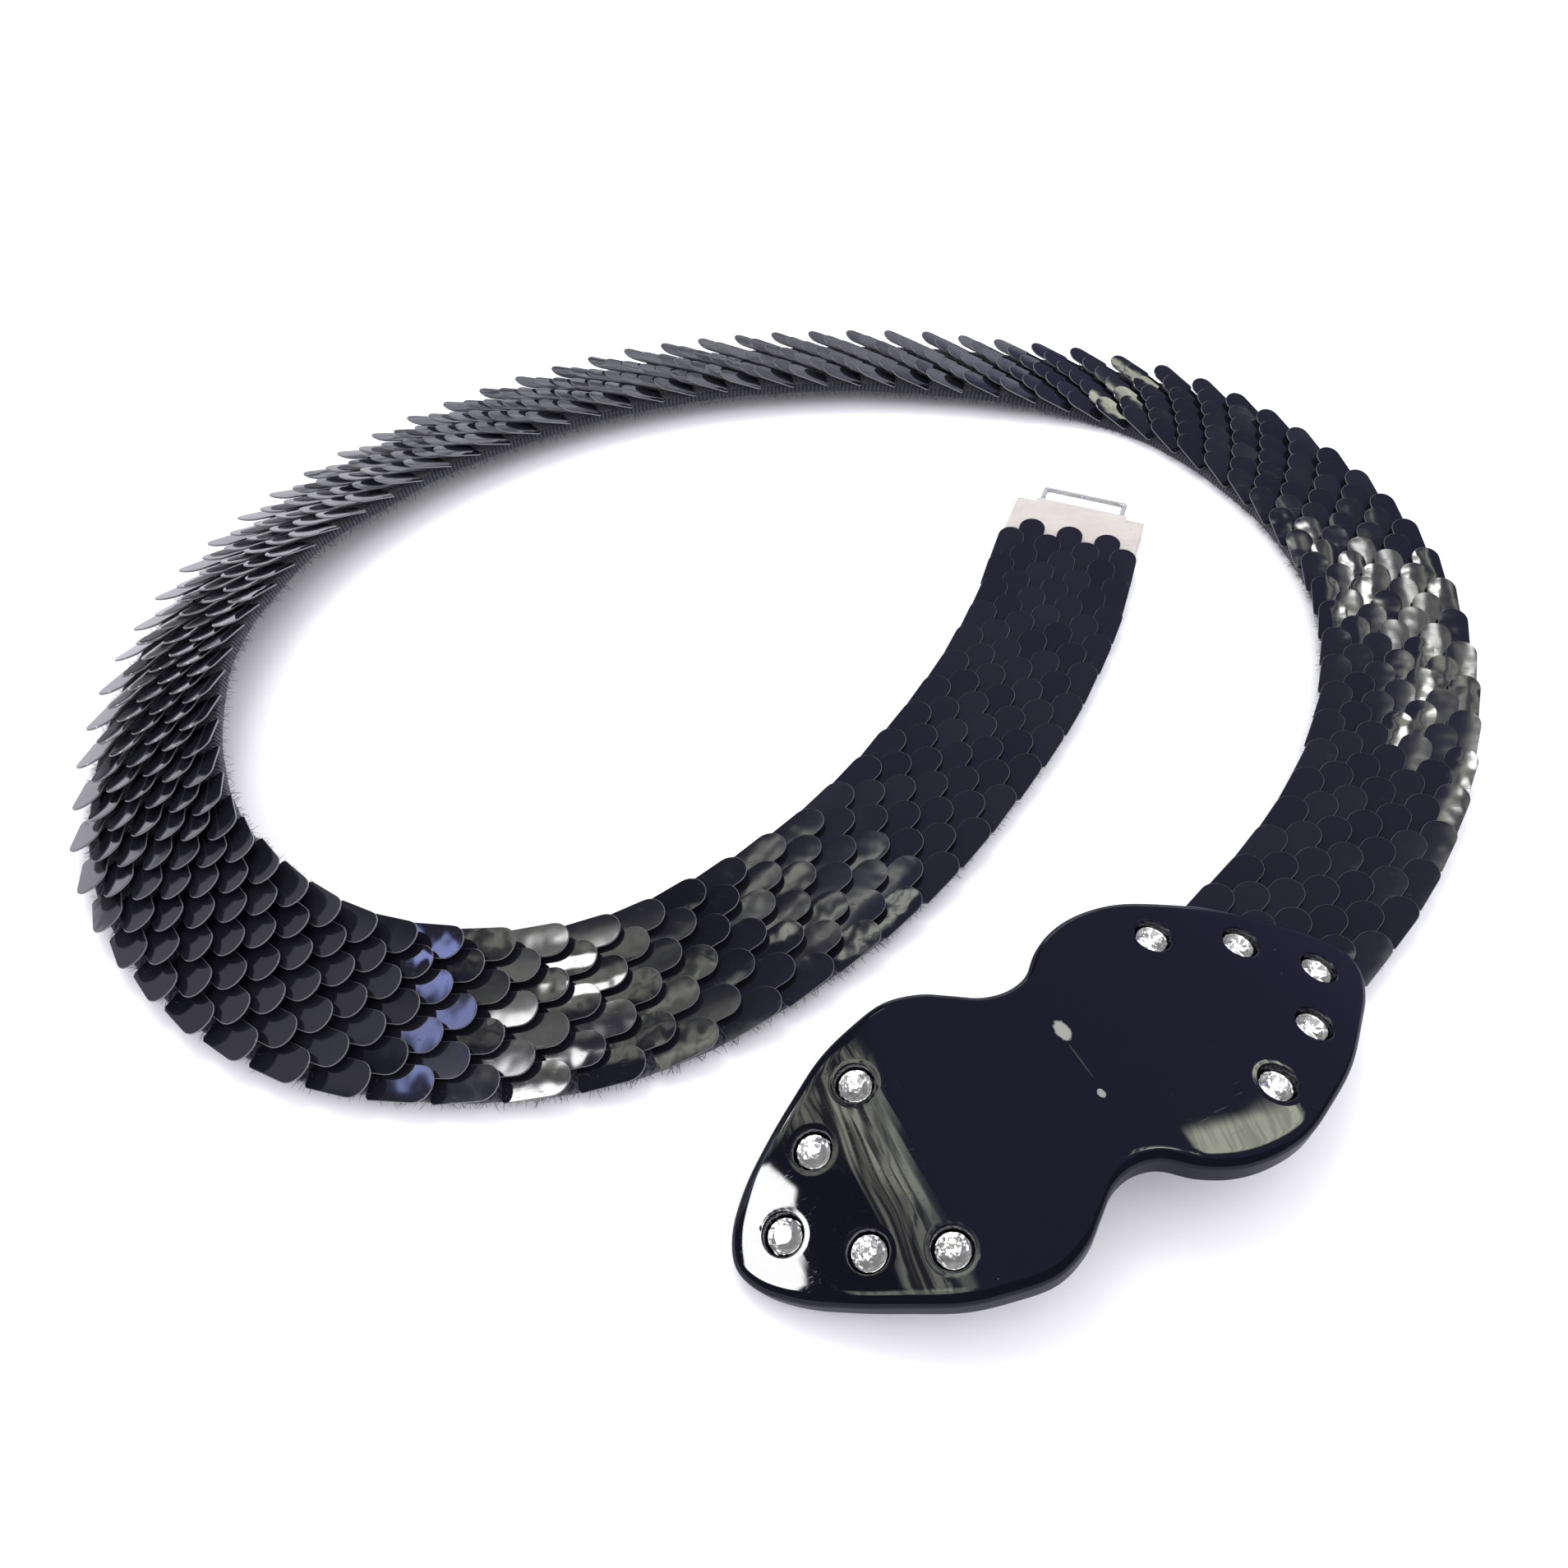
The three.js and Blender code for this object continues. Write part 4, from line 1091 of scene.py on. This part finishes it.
STAIN_EDGE = {"per_m": 1500.0, "from": 0.8, "to": 1.05}
stain_spot, given = new_group("stain_spot", "Mask", Vector=None, Middle=None, Half_size=None, Ragged=0.2)
moved = on_vectors(stain_spot, "SUBTRACT", given["Vector"], given["Middle"])
length = on_vectors(stain_spot, "LENGTH", on_vectors(stain_spot, "DIVIDE", moved, given["Half size"]))
rough = calculate(stain_spot, "SUBTRACT", noise(stain_spot, given["Vector"], STAIN_EDGE["per_m"]), 0.5)
reach = calculate(stain_spot, "MULTIPLY_ADD", rough, given["Ragged"], length)
end_group(stain_spot, fade(stain_spot, reach, STAIN_EDGE["from"], STAIN_EDGE["to"]))
print("dips and stains ready")

# %% Black acrylic
ACRYLIC = {
    "black": (0.0035, 0.0035, 0.006, 1), "glue": (0.30, 0.31, 0.26, 1), "ragged": 0.5, "gloss": 0.025,
    "specks_per_m": 240.0, "speck_size": 0.035, "speck": 0.35, "dull_mark": 0.5, "scratches": 0.6,
    "dull_scratch": 0.12, "ripples_per_m": 55.0, "ripple": 0.16 * MM, "dip_reach": 1.0 * MM, "dip": 0.02 * MM,
}
STAINS = (  # along, across, half length, half width, strength
    (-6.6 * MM, 6.0 * MM, 1.2 * MM, 1.9 * MM, 0.8),
    (-7.6 * MM, -5.1 * MM, 0.6 * MM, 0.8 * MM, 0.75),
    (-7.1 * MM, 0.8 * MM, 0.14 * MM, 3.4 * MM, 0.1),
)
acrylic, tree, shader, coordinates = new_material("black_acrylic", IOR=1.49)
own_turn = (0, 0, math.radians(PLATE["yaw"]))
own = mapping(tree, coordinates, "TEXTURE", Location=PLATE["place"], Rotation=own_turn)
marks = 0.0
for along, across, half_along, half_across, strength in STAINS:
    mask = place_group(
        tree, stain_spot, Vector=own, Middle=(along, across, 0), Half_size=(half_along, half_across, 1.0),
        Ragged=ACRYLIC["ragged"],
    )
    marks = calculate(tree, "MAXIMUM", calculate(tree, "MULTIPLY", mask, strength), marks)
dust = place_group(
    tree, dusty, Vector=coordinates, Per_metre=ACRYLIC["specks_per_m"], Size=ACRYLIC["speck_size"],
)
marks = calculate(tree, "MAXIMUM", marks, calculate(tree, "MULTIPLY", dust, ACRYLIC["speck"]))
scratches = place_group(tree, scratched, Vector=own, Amount=ACRYLIC["scratches"])
dull = calculate(tree, "MULTIPLY_ADD", marks, ACRYLIC["dull_mark"], ACRYLIC["gloss"])
ripples = place_group(tree, wavy, Vector=coordinates, Per_metre=ACRYLIC["ripples_per_m"])
dips = place_group(tree, seat_dips, Vector=coordinates, Reach=ACRYLIC["dip_reach"])
plug(tree, shader, {
    "Base Color": mix_colours(tree, marks, ACRYLIC["black"], ACRYLIC["glue"]),
    "Roughness": calculate(tree, "MULTIPLY_ADD", scratches, ACRYLIC["dull_scratch"], dull),
    "Normal": add_bump(tree, dips, ACRYLIC["dip"], Normal=add_bump(tree, ripples, ACRYLIC["ripple"])),
})
finish_with(medallion, acrylic)
hand_over(medallion, "acrylic", "medallion")

# %% [markdown]
# ## Cut stones
# The stones are round glass brilliants with a silver foil behind, pressed into their seats. A sphere or a cone would
# never sparkle: what the eye reads is the pattern of the cut. Eight kite facets ring an octagonal table, with star
# facets between them, pairs of small facets down to the girdle, and the matching cut below. Each kite and each
# facet under it is truly flat, because its middle corners are put on the plane through its two ends. The crown is
# clear glass and the cone behind it is foil, so light goes in, bounces on the foil and comes out bright or dark.

# %% Brilliant cut
BRILLIANT = {
    "table": 1.3 * MM, "girdle": 2.5 * MM, "top": 0.1 * MM, "crown": 0.85 * MM, "edge": 0.15 * MM,
    "culet": 0.3 * MM, "depth": 2.15 * MM, "star": 1.85 * MM, "lower": 0.8 * MM, "mains": 8,
}


def brilliant_shape(table, girdle, top, crown, edge, culet, depth, star, lower, mains):
    """Points and faces of the cut, the faces of glass first, and how many of them are glass."""
    half_turn = math.pi / mains
    girdle_top = -top - crown
    girdle_low = girdle_top - edge
    crown_drop, cone_drop = crown / (girdle - table), (girdle_low + depth) / (girdle - culet)
    star_up = -top - (star * math.cos(half_turn) - table) * crown_drop
    lower_up = girdle_low - (girdle - lower * math.cos(half_turn)) * cone_drop
    points, rings = [], {}
    for ring, radius, up, sides, start in (
        ("table", table, -top, mains, 0), ("star", star, star_up, mains, half_turn),
        ("rim", girdle, girdle_top, 2 * mains, 0), ("edge", girdle, girdle_low, 2 * mains, 0),
        ("lower", lower, lower_up, mains, half_turn), ("culet", culet, -depth, mains, 0),
    ):
        rings[ring] = list(range(len(points), len(points) + sides))
        points += circle(radius, up, sides, start)
    glass, foil = [rings["table"]], [rings["culet"][::-1]]
    for main in range(mains):
        after = (main + 1) % mains
        for ring, inner, middle, faces in (("rim", "table", "star", glass), ("edge", "culet", "lower", foil)):
            inner, next_inner, middle, before = (
                rings[inner][main], rings[inner][after], rings[middle][main], rings[middle][main - 1],
            )
            corner, between, following = (rings[ring][(2 * main + i) % (2 * mains)] for i in range(3))
            faces.append((inner, before, corner, middle))
            faces += [(middle, corner, between), (middle, between, following), (inner, middle, next_inner)]
    glass += bridge(rings["edge"], rings["rim"])
    return points, glass + foil, len(glass)


stone_points, stone_faces, glass_count = brilliant_shape(**BRILLIANT)
print("facets on one stone:", len(stone_faces))

# %% Glass, foil and the ten stones
FOIL = {
    "bright": (0.97, 0.97, 0.98, 1), "tarnished": (0.82, 0.79, 0.75, 1), "tarnish_per_m": 700.0,
    "tarnish": (0.45, 0.7, 0.0, 0.5), "roughness": (0.3, 0.7, 0.03, 0.08),
}
HAZE = {"per_m": 900.0, "bump": 0.004 * MM}
STONE_SPIN = 0.7
crown_glass, tree, shader, coordinates = new_material(
    "crown_glass", Base_Color=(0.98, 0.98, 1.0, 1), Roughness=0.0, IOR=1.57, Transmission_Weight=1.0,
)
haze = place_group(tree, wavy, Vector=coordinates, Per_metre=HAZE["per_m"])
plug(tree, shader, {"Normal": add_bump(tree, haze, HAZE["bump"])})
silver_foil, tree, shader, coordinates = new_material("silver_foil", Metallic=0.8)
tarnish = noise(tree, coordinates, FOIL["tarnish_per_m"], Detail=2.0)
plug(tree, shader, {
    "Base Color": mix_colours(tree, fade(tree, tarnish, *FOIL["tarnish"]), FOIL["bright"], FOIL["tarnished"]),
    "Roughness": fade(tree, tarnish, *FOIL["roughness"]),
})

for number, (along, across) in enumerate(stone_places, 1):
    stone_at = stone_matrix(along, across) @ Matrix.Rotation(STONE_SPIN * number, 4, "Z")
    stone = new_piece(f"cut_stone_{number:02d}", [stone_at @ point for point in stone_points], stone_faces)
    face_outward(stone)
    finish_with(stone, crown_glass, silver_foil)
    for face in stone.data.polygons:
        face.material_index = int(face.index >= glass_count)
    hand_over(stone, "stones", f"stone_{number:02d}")

# %% [markdown]
# ## Metal: brushed catch and satin end plate
# The catch under the medallion hardly shows, but it is there: a bowed steel strip with a hook for the loop and jaws
# for the knit. Its solid already has the right shape, so a copy of it is merged and its edges are broken with a
# small bevel. The end plate is a stamped cap in a warm, satin silver, with a narrower tongue in front.

# %% Brushed metals
BRUSHED = {
    "stretch": (60.0, 2600.0, 300.0), "blotches_per_m": 140.0, "blotches": (0.35, 0.7, 1.0, 0.6),
    "worn": (0.2, 0.65, 0.0, 1.0), "grain": (0.3, 0.7), "rougher": 0.12, "scratches": 0.5, "bump": 0.01 * MM,
}
METALS = {  # light, dark, turn of the grain, roughness, metallic
    "brushed_steel": ((0.62, 0.62, 0.61, 1), (0.42, 0.42, 0.42, 1), math.radians(PLATE["yaw"]), 0.3, 1.0),
    "satin_silver": ((0.58, 0.54, 0.48, 1), (0.5, 0.47, 0.42, 1), 0.0, 0.42, 0.12),
    "bright_wire": ((0.62, 0.62, 0.61, 1), (0.5, 0.5, 0.49, 1), 0.0, 0.2, 0.5),
}


def brushed_metal(name, light, dark, turn, roughness, metallic):
    material, tree, shader, coordinates = new_material(name, Metallic=metallic)
    stretched = mapping(tree, coordinates, Rotation=(0, 0, turn), Scale=BRUSHED["stretch"])
    grain = noise(tree, stretched, 1.0, Detail=3.0)
    blotches = fade(tree, noise(tree, coordinates, BRUSHED["blotches_per_m"], Detail=2.0), *BRUSHED["blotches"])
    worn = fade(tree, calculate(tree, "MULTIPLY", grain, blotches), *BRUSHED["worn"])
    scratches = place_group(tree, scratched, Vector=coordinates, Amount=BRUSHED["scratches"])
    dull = fade(tree, grain, *BRUSHED["grain"], roughness, roughness + BRUSHED["rougher"])
    plug(tree, shader, {
        "Base Color": mix_colours(tree, worn, dark, light),
        "Roughness": calculate(tree, "ADD", dull, scratches), "Normal": add_bump(tree, grain, BRUSHED["bump"]),
    })
    return material


steel, satin, bright = [brushed_metal(name, *values) for name, values in METALS.items()]
print("metals:", list(METALS))

# %% Catch
CATCH = {"doubled": 0.01 * MM, "flat": math.radians(0.6), "bevel": 0.12 * MM, "bevel_above": math.radians(35)}


def bevel_edges(piece, width, segments=2):
    apply_modifier(
        piece, "BEVEL", width=width, segments=segments, limit_method="ANGLE", angle_limit=CATCH["bevel_above"],
    )


catch = add_object("steel_catch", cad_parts["back_catch"].data.copy())
face_outward(catch, CATCH["doubled"], CATCH["flat"])
bevel_edges(catch, CATCH["bevel"])
smooth(catch)
finish_with(catch, steel)
hand_over(catch, "catch_steel", "back_catch")

# %% Stamped end plate
WIRE = {
    "thick": 1.15 * MM, "height": 2.9 * MM, "width": 20.6 * MM, "reach": 6.8 * MM, "bend": 0.8 * MM,
    "root": 1.0 * MM, "sides": 20, "bend_steps": 8, "knob": 0.28,
}
lap, top, foot, sheet = (END_PLATE[name] for name in ("lap", "top", "foot", "sheet"))
half_plate, half_tongue = END_PLATE["width"] / 2, END_PLATE["tongue"] / 2
plate_front, tongue_front = END_PLATE["length"], END_PLATE["length"] + END_PLATE["tongue_reach"]


def prism(name, side, low, high):
    """An upright block whose outline is one side and its mirror image."""
    outline = side + mirror_image(side)
    return capped(name, [[(*spot, up) for spot in outline] for up in (low, high)])


end_plate = prism(
    "end_plate_and_loop",
    [(-lap, -half_plate), (plate_front, -half_plate), (plate_front, -half_tongue), (tongue_front, -half_tongue)],
    foot, top,
)
bevel_edges(end_plate, END_PLATE["bevel"], END_PLATE["bevel_steps"])
inside = sheet - half_plate
pocket = prism("pocket", [(-2 * lap, inside), (plate_front - sheet, inside)], -top, top - sheet)
under_tongue = prism(
    "under_tongue", [(plate_front, -half_plate), (2 * tongue_front, -half_plate)],
    -top, WIRE["height"] - WIRE["thick"] / 2,
)
for tool in (pocket, under_tongue):
    combine(end_plate, tool, operation="DIFFERENCE")
print("end plate faces:", len(end_plate.data.polygons))

# %% Wire loop
def loop_line():
    """The wire's middle line, and how far each point is into a bend."""
    leg, bar, bend = (WIRE["width"] - WIRE["thick"]) / 2, plate_front + WIRE["reach"], WIRE["bend"]
    half_line = [(tongue_front - WIRE["root"], leg, 0.0)]
    for s, c in quarter_turn(WIRE["bend_steps"]):
        half_line.append((bar - bend * (1 - s), leg - bend * (1 - c), 2 * s * c))
    half_line.append((bar, leg - 3 * bend, 0.0))
    return half_line + [(x, -y, into) for x, y, into in reversed(half_line)]


line = loop_line()
rows = []
for i, (x, y, into) in enumerate(line):
    before, after = line[max(i - 1, 0)], line[min(i + 1, len(line) - 1)]
    heading = Vector((after[0] - before[0], after[1] - before[1])).normalized()
    section = circle(WIRE["thick"] / 2 * (1 + WIRE["knob"] * into), 0.0, WIRE["sides"])
    rows.append([(x - heading.y * s.x, y + heading.x * s.x, WIRE["height"] + s.y) for s in section])
wire = capped("wire", rows)
finish_with(wire, bright)
finish_with(end_plate, satin, bright)
combine(end_plate, wire, operation="UNION", material_mode="TRANSFER")
print("with the wire:", len(end_plate.data.polygons))

# %% End plate at the tail
_, ahead, inward, up = band_frame(np.array([route_length]))
tail = route_at(np.array([len(places) - 1.0]))[0][0]
turn = Matrix((ahead[0], inward[0], up[0])).transposed().to_4x4()
end_plate.data.transform(Matrix.Translation((*tail, 0)) @ turn)
smooth(end_plate, END_PLATE["smooth_below"])
hand_over(end_plate, "plate_steel", "end_plate")
